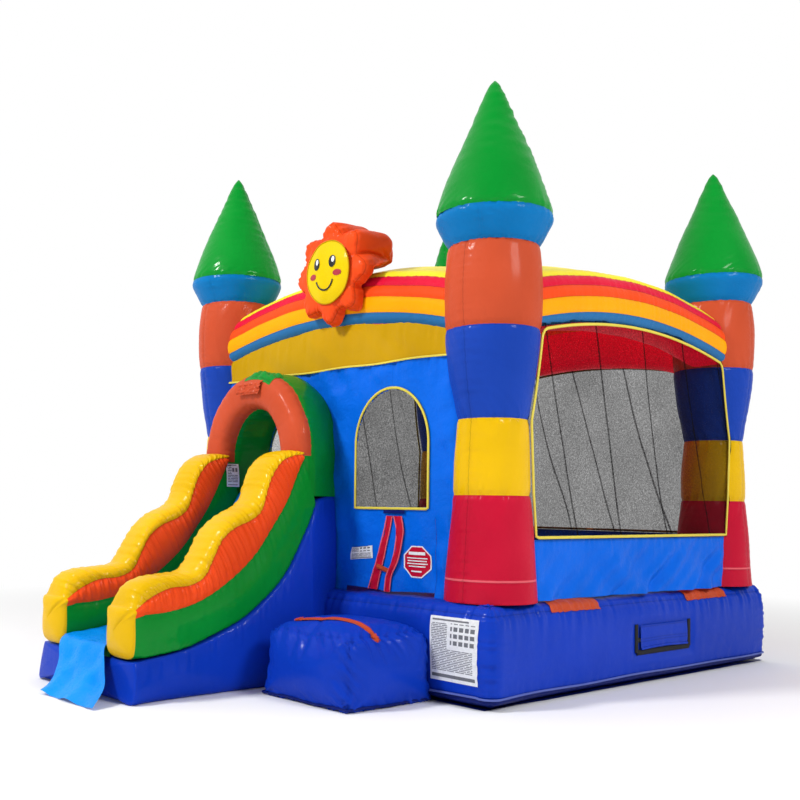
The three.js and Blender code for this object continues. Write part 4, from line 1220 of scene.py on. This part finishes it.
def slip_cover():
    """The slick cover: laid up the lane, hung over the lip, and spread where it meets the ground."""
    lane = lane_line(0.074)
    lip_y, lip_z = lane[0]
    hang = smooth_line([(lip_y, lip_z), (lip_y - 0.035, lip_z - 0.03), (lip_y - 0.085, 0.20),
                        (lip_y - 0.15, 0.09), (lip_y - 0.265, 0.012)], 34)
    line = np.vstack([hang[::-1][:-1], lane[::2]])
    down = len(hang) - 1
    x = np.linspace(-1, 1, 46)
    half, centre = (LANE_RIGHT - LANE_LEFT) / 2 - 0.012, (LANE_LEFT + LANE_RIGHT) / 2
    along, height = line[:, :1] + 0 * x, line[:, 1:] + 0 * x
    points = np.stack([centre + half * x + 0 * along, along, height], axis=2)
    free = np.clip((down - np.arange(len(line))) / down, 0, 1)[:, None]
    drop = np.clip((lip_z - points[..., 2]) / lip_z, 0, 1)
    points[..., 0] += (0.27 + 0.05 * x[None]) * drop
    wave = 0.012 * free * np.sin(6.0 * x[None] + 1.2) + 0.005 * ripples(points, 0.16, 131)
    lane_wave = 0.0045 * ripples(points * [0.6, 1.6, 1.0], 0.22, 132) * (1 - free)
    facing = normals(points)
    facing *= np.sign(facing[-1, 20, 2])
    points = points + facing * (wave * (free > 0) + lane_wave)[..., None]
    points[..., 2] = np.maximum(points[..., 2], 0.004)
    edge = half * (1 - np.abs(x))[None] + 0 * along
    cover = grid("slip_cover_sheet", points, [CYAN], seam=np.abs(edge - 0.02), along=height, body=None,
                 replaced=["slip_cover", "slip_cover_apron"])
    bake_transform(cover)


ARCH_FRONT, ARCH_SEAM, ARCH_BACK = -2.005, -1.90, -1.50  # where the slide's arch starts, turns green and ends
ARCH_OUT, ARCH_RISE = 0.585, 0.595  # how far its outside stands from its middle and above its spring
LEG_TURN, LEG_DROP = 0.35, 0.30  # each leg below the spring, as extra turn and as depth


def slide_arch():
    """The arch over the top of the slide: an orange front and a green tunnel back to the wall."""
    a = np.linspace(0, 2 * math.pi, 72, endpoint=False)
    across = np.sign(np.cos(a)) * np.abs(np.cos(a)) ** 0.62
    depth = np.sign(np.sin(a)) * np.abs(np.sin(a)) ** 0.55
    y = (ARCH_FRONT + ARCH_BACK) / 2 - depth * (ARCH_BACK - ARCH_FRONT) / 2
    outside = (across + 1) / 2
    taper = 1 - 0.22 * np.clip((y - ARCH_SEAM) / 0.35, 0, 1)
    wide = ARCH_OUT * taper - ARCH_IN
    tall = ARCH_RISE - 0.02 * (1 - taper) - ARCH_IN_TOP + SPRING
    turns = np.concatenate([np.linspace(-LEG_TURN, 0, 12, endpoint=False), np.linspace(0, math.pi, 120),
                            np.linspace(math.pi, math.pi + LEG_TURN, 13)[1:]])
    loops = []
    for t in turns:
        over = min(max(t, 0), math.pi)
        leg = -LEG_DROP * abs(t - over) / LEG_TURN
        x = ARCH_IN * math.cos(over) + wide * math.cos(over) * outside
        z = SPRING + leg + math.sin(over) * (ARCH_IN_TOP - SPRING + tall * outside)
        loops.append(np.column_stack([ARCH_X + x, y, z]))
    points = np.array(loops)
    face_edge = np.where(y < ARCH_FRONT + 0.03, np.abs(np.abs(across) - 0.8) * 0.13, 1.0)
    near = np.minimum(np.abs(y - ARCH_SEAM), face_edge)
    run = run_along(points[:, 0])[:, None]
    facing = normals(points, True)
    sign = np.sign(facing[72, 0, 2])
    push = pucker(np.abs(y - ARCH_SEAM)[None] + 0 * run, run + 0 * y, depth=0.005, spacing=0.05, reach=0.05,
                  pinch=0.006, seed=141)
    push += 0.005 * ripples(points, 0.3, 142)
    points = points + facing * sign * push[..., None]
    middle = (y + np.roll(y, -1)) / 2
    leg_height = points[:-1, 0, 2][:, None]
    bands = ((middle > ARCH_SEAM)[None] | (leg_height < SPRING - 0.03)).astype(int)
    grid("slide_arch_skin", points, [ORANGE, GREEN], bands=bands, wrap=True, seam=near[None],
         replaced=["slide_arch_front", "slide_arch_tunnel"], fill=1.0)


bumper("right", SLIDE_FOOT[1].x, LANE_RIGHT, 101)
bumper("left", SLIDE_FOOT[0].x, LANE_LEFT, 111)
slide_body()
slide_bed()
slip_cover()
slide_arch()


# ---- Entry step ----------------------------------------------------------------------------------
def entry_step():
    """The puffed block under the door, piped along its foot, with a grab strap sewn across it."""
    low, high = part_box("entry_step")
    start = (low.x + 0.005, low.y - 0.035, 0.0)
    end = (high.x + 0.022, high.y + 0.02, high.z - 0.050)
    step = pillow("entry_step_skin", start, end, BLUE, cuts=50, power=6.5, foot_power=30.0, puff=0.016,
                  depth=0.012, seed=151, blow=(5.0, 0.03), replaced=["entry_step"])
    half = ((high.x - low.x) / 2 + 0.016, (high.y - low.y) / 2 + 0.026)
    foot, face = around(*half, 0.015, 300)
    middle = ((low.x + high.x) / 2 + 0.008, (low.y + high.y) / 2 - 0.014)
    rim = np.column_stack([foot + middle, 0.018 + 0.004 * np.sin(np.linspace(0, 40, 300))])
    ribbon("entry_step_piping", rim, np.column_stack([face, np.zeros(300)]), NAVY, 0.016, rise=0.005,
           closed=True)
    x = np.linspace(low.x + 0.16, high.x - 0.01, 50)
    path = np.column_stack([x, -2.30 + 0.22 * (x - x[0]) + 0.012 * np.cos((x - 0.8) * 3), 0 * x + 1.0])
    laid = cast(step, path, (0, 0, -1)) + [0, 0, 0.006]
    ribbon("step_strap_webbing", laid, (0, -0.2, 1), ORANGE, 0.046, rise=0.005, replaced=["step_strap"])
    for number, spot in enumerate((laid[2], laid[-3])):
        tack = panel(spot + [0, 0, 0.3], (1, 0, 0), (0, 1, 0), 0.03, 0.05, 6, 8)
        patch(f"step_strap_tack_{number + 1}", step, tack, (0, 0, -1), [ORANGE], lift=0.013)


# ---- Sun ornament --------------------------------------------------------------------------------
SUN_LOW, SUN_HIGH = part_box("sun_rays")
SUN_X, SUN_Z = (SUN_LOW.x + SUN_HIGH.x) / 2, (SUN_LOW.z + SUN_HIGH.z) / 2
SUN_RAY = (SUN_HIGH.z - SUN_LOW.z) / 2
SUN_VALLEY = 0.292  # how far out the valleys between the rays are
SUN_FRONT, SUN_BACK = SUN_LOW.y, SUN_HIGH.y
FACE_RADIUS = 0.222
FACE_X = SUN_X + 0.026


def sun():
    """Eight puffed rays round a flat face, each ray running back over the arch beam as a puffed ridge."""
    angle = np.linspace(0, 2 * math.pi, 400, endpoint=False)
    ray = np.abs(((angle * 8 / (2 * math.pi)) % 1) * 2 - 1)  # 0 in a valley, 1 on a ray's tip
    edge = SUN_VALLEY + (SUN_RAY - SUN_VALLEY) * (0.5 - 0.5 * np.cos(math.pi * ray)) ** 0.9
    face_y = SUN_FRONT + 0.03
    rings = [(share, face_y - 0.030 * (1 - share**4) ** 0.5) for share in np.linspace(0.02, 1, 26)]
    back = np.linspace(0, 1, 34)[1:]
    rings += [(1 + 0.05 * math.sin(math.pi * t) ** 0.5 - 0.10 * max(0, (t - 0.7) / 0.3) ** 2.5,
               face_y + t * (SUN_BACK - face_y)) for t in back]
    rings += [(share, SUN_BACK + 0.05 * (1 - (share / 0.9) ** 3) ** 0.5)
              for share in np.linspace(0.9, 0.02, 12)[1:]]
    share, depth = np.array(rings).T
    radius = edge[None] * share[:, None]
    points = np.stack([SUN_X + radius * np.sin(angle), depth[:, None] + 0 * radius,
                       SUN_Z + radius * np.cos(angle)], axis=2)
    run = np.concatenate([[0], np.cumsum(np.hypot(np.diff(share) * 0.3, np.diff(depth)))])[:, None]
    front_seam_at, back_seam_at = run[25], run[58]
    near = np.minimum(np.abs(run - front_seam_at), np.abs(run - back_seam_at))
    arc = angle[None] * 0.31
    push = pucker(near, arc, depth=0.007, spacing=0.045, reach=0.07, pinch=0.008, width=0.012, seed=161)
    push += 0.004 * ripples(points, 0.2, 162)
    valley = np.exp(-((ray[None] / 0.16) ** 2)) * np.clip((run - front_seam_at) / 0.03, 0, 1)
    facing = normals(points, True)
    facing *= np.sign(-facing[4, 0, 1])
    calm = np.clip((share - 0.7) / 0.25, 0, 1)[:, None]
    points = points + facing * (push * calm - 0.016 * valley)[..., None]
    # Below the beam's crest the rays stop at the beam's face; above it they run back over it.
    over = np.clip((points[..., 2] - 2.84) / 0.10, 0, 1)
    limit = -1.612 - 0.02 * np.clip(share - 0.9, 0, 1)[:, None]
    tucked = np.minimum(points[..., 1], limit * (1 - over) + over * points[..., 1])
    points[..., 1] = np.where(points[..., 2] < 2.94, tucked, points[..., 1])
    grid("sun_rays_skin", points, [SCARLET], wrap=True, seam=near, along=arc, replaced=["sun_rays"], fill=1.0,
         blow=(3.0, 0.012))
    disc = oval((FACE_X, face_y - 0.082, SUN_Z), (1, 0, 0), (0, 0, 1), FACE_RADIUS, FACE_RADIUS, 30, 96)
    out = np.hypot(disc[..., 0] - FACE_X, disc[..., 2] - SUN_Z) / FACE_RADIUS
    disc[..., 1] += 0.034 * out**3 + 0.0025 * ripples(disc, 0.18, 163)
    face = grid("sun_face_skin", disc, [SUNNY], wrap=True, replaced=["sun_face"])
    ribbon("sun_face_rim", disc[-1] + [0, -0.002, 0], (0, -1, 0), OCHRE_AND_SHADED_YELLOW, 0.009, rise=0.004, closed=True)
    sun_features(face)


def sun_features(face):
    """A plain smiling face: oval eyes, oval cheeks and a wide arc of a smile."""
    ahead, right, above = (0, 1, 0), (1, 0, 0), (0, 0, 1)
    middle = np.array([FACE_X, SUN_FRONT - 0.3, SUN_Z])
    for number, side in enumerate((-1, 1)):
        eye = middle + [side * 0.082, 0, 0.062]
        patch(f"sun_eye_{number + 1}", face, oval(eye, right, above, 0.033, 0.043), ahead, [BLACK], wrap=True)
        glint = oval(eye + [0.010, 0, 0.012], right, above, 0.014, 0.021)
        patch(f"sun_glint_{number + 1}", face, glint, ahead, [WHITE], lift=0.006, wrap=True)
        cheek = oval(middle + [side * 0.125, 0, -0.022], right, above, 0.038, 0.021)
        patch(f"sun_cheek_{number + 1}", face, cheek, ahead, [BLUSH], wrap=True)
    arc = np.linspace(math.radians(200), math.radians(340), 40)
    smile = middle + np.column_stack([0.088 * np.cos(arc), 0 * arc, 0.098 * np.sin(arc) - 0.030])
    ribbon("sun_smile", cast(face, smile, ahead) - [0, 0.004, 0], (0, -1, 0), BLACK, 0.012, rise=0.003)


# ---- Sewn patches, labels and the vent -----------------------------------------------------------
def label_cells(rows, columns):
    """Which cells of a blank label are grey, from its foot up: bars for print, squares for signs."""
    r, c = np.meshgrid(np.arange(rows) / rows, np.arange(columns), indexing="ij")
    line = np.broadcast_to(np.arange(rows)[:, None], r.shape)
    inside = (c > 1) & (c < columns - 3)
    title = (r > 0.92) & (r < 0.96) & (c > 2) & (c < columns * 0.8)
    signs = (r > 0.55) & (r < 0.90) & (c > columns * 0.42) & (c % 7 > 1) & (line % 8 > 2)
    notes = (r > 0.50) & (r < 0.90) & (c < columns * 0.36) & (line % 2 == 0) & ((c * 5 + line) % 19 > 1)
    bars = (r > 0.14) & (r < 0.50) & (line % 2 == 0) & ((c * 7 + line * 5) % 23 > 1) & (c < columns * 0.9)
    band = (r > 0.04) & (r < 0.10)
    return (inside & (title | signs | notes | bars | band)).astype(int)


def labels():
    """Blank labels: grey bars and squares stand for print."""
    sheet = panel((1.392, -BASE.y - 0.4, 0.335), (1, 0, 0), (0, 0, 1), 0.385, 0.390, 61, 76)
    patch("blank_label_print", base_skin, sheet, (0, 1, 0), [WHITE, INK], bands=label_cells(75, 60),
          replaced=["blank_label"])
    cloth = bpy.data.objects["door_flap_left_cloth"]
    small = panel((0.402, -1.9, 0.876), (1, 0, 0.10), (0, 0, 1), 0.195, 0.085, 41, 25)
    made = patch("door_label_print", cloth, small, (0, 1, 0), [WHITE, INK], bands=label_cells(24, 40),
                 lift=0.004, body=None)
    hang_on_door([made])
    wall = bpy.data.objects["front_panel_blue_cloth"]
    tab = panel((0.712, -1.9, 1.166), (1, 0, 0), (0, 0, 1), 0.195, 0.034, 30, 8)
    patch("door_top_tab", wall, tab, (0, 1, 0), [NAVY], lift=0.010)


def octagon(centre, half_width, half_height, rings, columns=64):
    """A grid over an eight-sided patch, from its middle outwards."""
    angle = np.linspace(0, 2 * math.pi, columns, endpoint=False) + math.pi / 8
    edge = math.cos(math.pi / 8) / np.cos((angle + math.pi / 8) % (math.pi / 4) - math.pi / 8)
    share = np.linspace(0.001, 1, rings)[:, None]
    x = share * half_width * (edge * np.cos(angle))[None]
    z = share * half_height * (edge * np.sin(angle))[None]
    return np.array(centre, float) + np.stack([x, 0 * x, z], axis=2)


def door_patch():
    """A plain red eight-sided patch with a white rim and white bars."""
    cloth = bpy.data.objects["door_flap_right_cloth"]
    centre = np.array([0.922, -1.9, 0.838])
    rim = (np.arange(13) > 11).astype(int)[:, None]
    pieces = [patch("door_octagon_patch", cloth, octagon(centre, 0.132, 0.112, 14), (0, 1, 0), [RED, WHITE],
                    bands=rim, wrap=True, lift=0.004, body=None)]
    bars = ((0.055, 0.15, 0.020), (0.024, 0.18, 0.007), (0.006, 0.17, 0.007), (-0.012, 0.18, 0.007),
            (-0.030, 0.15, 0.007), (-0.062, 0.10, 0.009))
    for number, (up, wide, tall) in enumerate(bars):
        bar = panel(centre + [0, 0, up], (1, 0, 0), (0, 0, 1), wide, tall, 20, 3)
        pieces.append(patch(f"door_octagon_bar_{number + 1}", cloth, bar, (0, 1, 0), [WHITE], lift=0.007,
                            body=None))
    hang_on_door(pieces)


def lane_label():
    """A small blank label inside the top of the slide, on its left side."""
    skin = bpy.data.objects["slide_bumper_left_skin"]
    spot = panel((-0.35, -1.94, 1.41), (0, 1, 0), (0, 0, 1), 0.11, 0.17, 24, 30)
    patch("lane_label_print", skin, spot, (-1, 0, 0), [WHITE, INK], bands=label_cells(29, 23), lift=0.006)


def base_patches():
    """Orange rub patches on the base's top edge, under each side window."""
    for number, (y, length) in enumerate(((-0.81, 0.54), (0.83, 0.58))):
        spot = (BASE.x - 0.045 + 0.21, y, 0.585 + 0.21)
        flat = panel(spot, (0, 1, 0), (-0.7, 0, 0.7), length, 0.11, 90, 30)
        patch(f"base_rub_patch_{number + 1}", base_skin, flat, (-0.7, 0, -0.7), [ORANGE], lift=0.006)


VENT_LOW, VENT_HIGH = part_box("vent_hook_tape")
FLAP_LOW, FLAP_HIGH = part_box("vent_flap")


def vent():
    """The deflation vent: hook tape in a U on the base, a zip, and a rolled flap sewn along its top edge."""
    out = (1, 0, 0)
    half = 0.016  # from the tape's outer edge to its middle
    corners = [(VENT_LOW.y + half, VENT_HIGH.z), (VENT_LOW.y + half, VENT_LOW.z + half),
               (VENT_HIGH.y - half, VENT_LOW.z + half), (VENT_HIGH.y - half, VENT_HIGH.z)]
    for number in range(3):
        a, b = np.array(corners[number]), np.array(corners[number + 1])
        line = a + (b - a) * np.linspace(0, 1, 40)[:, None]
        path = np.column_stack([0 * line[:, 0] + VENT_HIGH.x - 0.001, line])
        ribbon(f"vent_hook_tape_{number + 1}", path, out, TAPE, 0.038, rise=0.006 + 0.0004 * number,
               **({"replaced": ["vent_hook_tape"]} if number == 0 else {}))
    y = np.linspace(FLAP_LOW.y + 0.012, FLAP_HIGH.y - 0.022, 70)
    drop = np.linspace(0, 1, 40)[:, None]
    z = FLAP_HIGH.z + (FLAP_LOW.z - FLAP_HIGH.z) * drop + 0.004 * np.sin(9 * y)[None] * drop
    sag = (0.004 * np.abs(np.sin(7 * y + 1))[None] * np.sin(math.pi * drop)
           + 0.003 * np.abs(np.sin(16 * y))[None] * drop)
    x = FLAP_LOW.x + 0.001 + sag
    points = np.stack([x + 0 * z, y[None] + 0 * z, z], axis=2)
    rows = np.abs(drop - np.array([0.05, 0.55, 0.66, 0.9])[None]).min(1)[:, None] * 0.16
    cloth = grid("vent_flap_cloth", points, [BLUE], seam=rows + 0 * z, along=y[None] + 0 * z,
                 body="vent_cover", replaced=["vent_flap"])
    roll = np.column_stack([points[-1, :, 0], y, points[-1, :, 2] + 0.008])
    tube("vent_flap_roll", roll, 0.008, BLUE, body="vent_cover")
    slider_low, slider_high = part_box("vent_zip_slider")
    zip_z = (slider_low.z + slider_high.z) / 2
    zip_y = np.linspace(FLAP_LOW.y, FLAP_HIGH.y, 60)
    zip_path = np.column_stack([0 * zip_y + BASE.x + 0.0005, zip_y, 0 * zip_y + zip_z])
    ribbon("vent_zip_tape", zip_path, out, TAPE, 0.034, rise=0.0014)
    teeth = np.column_stack([0 * zip_y + BASE.x + 0.0022, zip_y, 0 * zip_y + zip_z])
    ribbon("vent_zip_teeth", teeth, out, INK, 0.006, rise=0.0014)


def arch_flap():
    """A creased flap over the crown of the slide's arch, with a line of stitching near its foot."""
    skin = bpy.data.objects["slide_arch_skin"]
    low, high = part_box("arch_vent_flap")
    width, height = high.x - low.x, high.z - low.z
    centre = ((low.x + high.x) / 2, low.y - 0.3, (low.z + high.z) / 2)
    flat = panel(centre, (1, 0, 0), (0, 0, 1), width, height, 44, 24)
    laid = cast(skin, flat, (0, 1, 0))
    below = (high.z - flat[..., 2]) / height  # 0 along the sewn top edge, 1 along the loose foot
    creased = np.abs(ripples(laid * [1, 0.2, 1.6], 0.085, 171))
    laid[..., 1] -= 0.003 + np.clip(below / 0.25, 0, 1) * (0.004 + 0.012 * creased) + 0.016 * below**3
    cloth = grid("arch_vent_flap_cloth", laid, [ORANGE], seam=np.abs(flat[..., 2] - low.z - 0.012),
                 along=flat[..., 0], body="arch_cover", replaced=["arch_vent_flap"])


def loose_seam():
    """A crumpled lap of green cloth along the crown of the slide's arch, beside the flap."""
    skin = bpy.data.objects["slide_arch_skin"]
    flat = panel((ARCH_X + 0.07, -1.925, 2.5), (1, 0, 0), (0, 1, 0), 0.30, 0.13, 60, 26)
    laid = cast(skin, flat, (0, 0, -1))
    along, across = np.meshgrid(np.linspace(-1, 1, 60), np.linspace(-1, 1, 26))
    inner = np.clip((1 - np.abs(along)) / 0.3, 0, 1) * np.clip((1 + across) / 0.4, 0, 1)
    laid[..., 2] += 0.004 + inner * 0.013 * np.abs(ripples(laid * [1, 1.2, 0.3], 0.12, 172))
    grid("slide_arch_loose_seam", laid, [GREEN], seam=np.abs(flat[..., 1] + 1.98), along=flat[..., 0])


def climb():
    """Puffed stairs inside, up to the slide's platform."""
    low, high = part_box("climb_ramp")
    foot = low.z - 0.01
    stairs = [(-1.0, -0.73, 0.86), (-1.22, -0.96, 1.06), (-1.56, -1.19, 1.262)]
    pillow("climb_ramp_stair_1", (low.x, -0.76, foot), (high.x, -0.49, 0.82), BLUE, cuts=26, seed=181,
           replaced=["climb_ramp"])
    for number, (front, back, top) in enumerate(stairs):
        pillow(f"climb_ramp_stair_{number + 2}", (low.x, front, foot), (high.x, back, top + 0.02),
               YELLOW if number % 2 == 0 else BLUE, cuts=26, seed=183 + number)


def sleeve():
    """The blower's sleeve at the back: a sewn fabric tube with a strap, open at its end."""
    low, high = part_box("inflation_sleeve")
    x, z = (low.x + high.x) / 2, (low.z + high.z) / 2
    radius = (high.x - low.x) / 2 - 0.003
    run = np.linspace(low.y - 0.03, high.y, 60)[:, None]
    angle = np.linspace(0, 2 * math.pi, 72, endpoint=False)[None]
    tied = high.y - 0.16
    wide = radius - 0.016 * np.exp(-(((run - tied) / 0.03) ** 2)) + 0 * angle
    base = np.stack([x + wide * np.cos(angle), run + 0 * angle, z + wide * np.sin(angle)], axis=2)
    gathered = np.exp(-np.abs(run - tied) / 0.06)
    wide = wide + (0.005 * np.sin(13 * angle + 2) * gathered + 0.003 * ripples(base, 0.12, 191))
    points = np.stack([x + wide * np.cos(angle), run + 0 * angle, z + wide * np.sin(angle)], axis=2)
    cloth = grid("inflation_sleeve_cloth", points, [BLUE], wrap=True,
                 seam=np.abs(high.y - 0.03 - run) + 0 * angle, along=angle * radius + 0 * run,
                 replaced=["inflation_sleeve"])
    turn = np.linspace(0, 2 * math.pi, 60, endpoint=False)
    tight = radius - 0.014
    strap = np.column_stack([x + tight * np.cos(turn), 0 * turn + tied, z + tight * np.sin(turn)])
    outward_line = np.column_stack([np.cos(turn), 0 * turn, np.sin(turn)])
    ribbon("inflation_sleeve_strap", strap, outward_line, TAPE, 0.025, rise=0.004, closed=True)


RING_BAR = 0.0035  # radius of an anchor ring's steel bar


def anchors():
    """Webbing tie-down tabs at the back, each with a steel ring that swings on it."""
    for side in ("left", "right"):
        low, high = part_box(f"anchor_tab_{side}")
        x, z = (low.x + high.x) / 2, (low.z + high.z) / 2
        square = panel((x, 2.4, z), (1, 0, 0), (0, 0, 1), high.x - low.x, high.z - low.z, 12, 12)
        spread = np.maximum(np.abs(square[..., 0] - x), np.abs(square[..., 2] - z))
        edge = (high.x - low.x) / 2 - spread
        patch(f"anchor_tab_{side}_patch", base_skin, square, (0, -1, 0), [BLUE], lift=0.003,
              seam=np.abs(edge - 0.012), replaced=[f"anchor_tab_{side}"])
        turn = np.linspace(-math.pi * 0.75, math.pi * 0.75, 24)
        bar_y = high.y - 0.009
        loop = np.column_stack([0 * turn + x, bar_y + 0.0075 * np.cos(turn) - 0.001,
                                z + 0.0075 * np.sin(turn)])
        loop = np.vstack([[x, bar_y - 0.012, z - 0.045], loop, [x, bar_y - 0.012, z + 0.045]])
        around_bar = np.column_stack([0 * loop[:, 0], loop[:, 1] - bar_y + 0.004, loop[:, 2] - z])
        around_bar /= np.linalg.norm(around_bar, axis=1, keepdims=True)
        ribbon(f"anchor_tab_{side}_loop", loop, around_bar, TAPE, 0.034, rise=0.0012)
        ring_low, ring_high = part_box(f"anchor_ring_{side}")
        half = (ring_high.x - ring_low.x) / 2 - RING_BAR
        ring_y = (ring_low.y + ring_high.y) / 2
        bend = np.linspace(math.pi, 2 * math.pi, 30)
        ring = [(x - half, ring_y, z),
                *[(x + half * math.cos(a), ring_y, z - 0.020 + half * math.sin(a)) for a in bend],
                (x + half, ring_y, z)]
        ring += [(x + half * t, ring_y, z) for t in np.linspace(1, -1, 12)[1:-1]]
        tube(f"anchor_ring_{side}_steel", evenly(np.array(ring + ring[:1]), 90)[:-1], RING_BAR, STEEL,
             closed=True, body=f"ring_{side}", replaced=[f"anchor_ring_{side}"])


entry_step()
sun()
labels()
door_patch()
lane_label()
base_patches()
vent()
arch_flap()
loose_seam()
climb()
sleeve()
anchors()

# ---- Stage, light and camera ---------------------------------------------------------------------
EYE = Vector((5.579, -6.470, 1.205))
LOOK, RISE, ROLL = math.radians(49.716), math.radians(1.93), math.radians(0.81)


def camera():
    """A long lens low down at the front right, shifted to frame the house."""
    forward = Vector((-math.sin(LOOK) * math.cos(RISE), math.cos(LOOK) * math.cos(RISE), math.sin(RISE)))
    right = Vector((math.cos(LOOK), math.sin(LOOK), 0))
    above = right.cross(forward)
    tilted_right = right * math.cos(ROLL) + above * math.sin(ROLL)
    tilted_above = above * math.cos(ROLL) - right * math.sin(ROLL)
    data = bpy.data.cameras.new("camera")
    data.lens, data.sensor_width = 46.32, 36.0
    data.shift_x, data.shift_y = 0.1163, 0.0866
    obj = bpy.data.objects.new("camera", data)
    bpy.context.collection.objects.link(obj)
    turn = Matrix((tilted_right, tilted_above, -forward)).transposed()
    obj.matrix_world = Matrix.Translation(EYE) @ turn.to_4x4()
    bpy.context.scene.camera = obj


def area_light(name, spot, target, size, power):
    """A square soft light aimed at a point."""
    data = bpy.data.lights.new(name, "AREA")
    data.size, data.energy = size, power
    obj = bpy.data.objects.new(name, data)
    bpy.context.collection.objects.link(obj)
    obj.location = spot
    obj.rotation_euler = (Vector(target) - Vector(spot)).to_track_quat("-Z", "Y").to_euler()


def stage():
    """A pale floor fading to white, a white backdrop that dims upwards behind the camera, two soft lights."""
    bpy.ops.mesh.primitive_plane_add(size=160, location=(0, 0, -0.001))
    floor = bpy.context.object
    floor.name = "studio_floor"
    s = Shader("studio_floor", "studio")
    s.set(Base_Color=(0.92, 0.92, 0.92, 1), Roughness=0.9)
    spot = s.node("ShaderNodeSeparateXYZ", {0: s.node("ShaderNodeTexCoord").outputs["Object"]}).outputs
    across, along = s.math("MULTIPLY", spot[0], spot[0]), s.math("MULTIPLY", spot[1], spot[1])
    away = s.math("SQRT", s.math("ADD", across, along))
    white = s.node("ShaderNodeEmission", {"Color": (1, 1, 1, 1), "Strength": 1.0}).outputs[0]
    fade = s.node("ShaderNodeMixShader", {0: s.spread(away, 3.2, 8.0), 1: s.surface.outputs[0], 2: white})
    output = next(n for n in s.tree.nodes if n.type == "OUTPUT_MATERIAL")
    s.tree.links.new(fade.outputs[0], output.inputs["Surface"])
    floor.data.materials.append(s.material)
    world = bpy.data.worlds.new("studio")
    world.use_nodes = True
    nodes, links = world.node_tree.nodes, world.node_tree.links
    direction = nodes.new("ShaderNodeTexCoord").outputs["Generated"]
    behind = nodes.new("ShaderNodeVectorMath")
    behind.operation = "DOT_PRODUCT"
    links.new(direction, behind.inputs[0])
    behind.inputs[1].default_value = (-math.sin(LOOK), math.cos(LOOK), 0.35)
    height = nodes.new("ShaderNodeSeparateXYZ")
    links.new(direction, height.inputs[0])
    brightest = nodes.new("ShaderNodeMath")
    brightest.operation = "MAXIMUM"
    # Each ramp's source, then the two inputs it runs between and the brightness at each.
    ramps = ((behind.outputs["Value"], (-0.15, 0.65, 0.26, 1.0)),
             (height.outputs["Z"], (0.02, 0.34, 1.0, 0.0)))
    for number, (source, limits) in enumerate(ramps):
        level = nodes.new("ShaderNodeMapRange")
        for place, value in enumerate(limits):
            level.inputs[place + 1].default_value = value
        links.new(source, level.inputs[0])
        links.new(level.outputs[0], brightest.inputs[number])
    links.new(brightest.outputs[0], nodes["Background"].inputs[1])
    nodes["Background"].inputs[0].default_value = (1.0, 1.0, 1.0, 1)
    bpy.context.scene.world = world
    area_light("key", (-1.5, -9.0, 8.0), (0, -0.5, 1.2), 1.6, 700)
    area_light("fill", (9.0, -1.0, 6.5), (0, 0, 1.2), 2.6, 430)
    bpy.context.scene.view_settings.view_transform = "Standard"


stage()
camera()
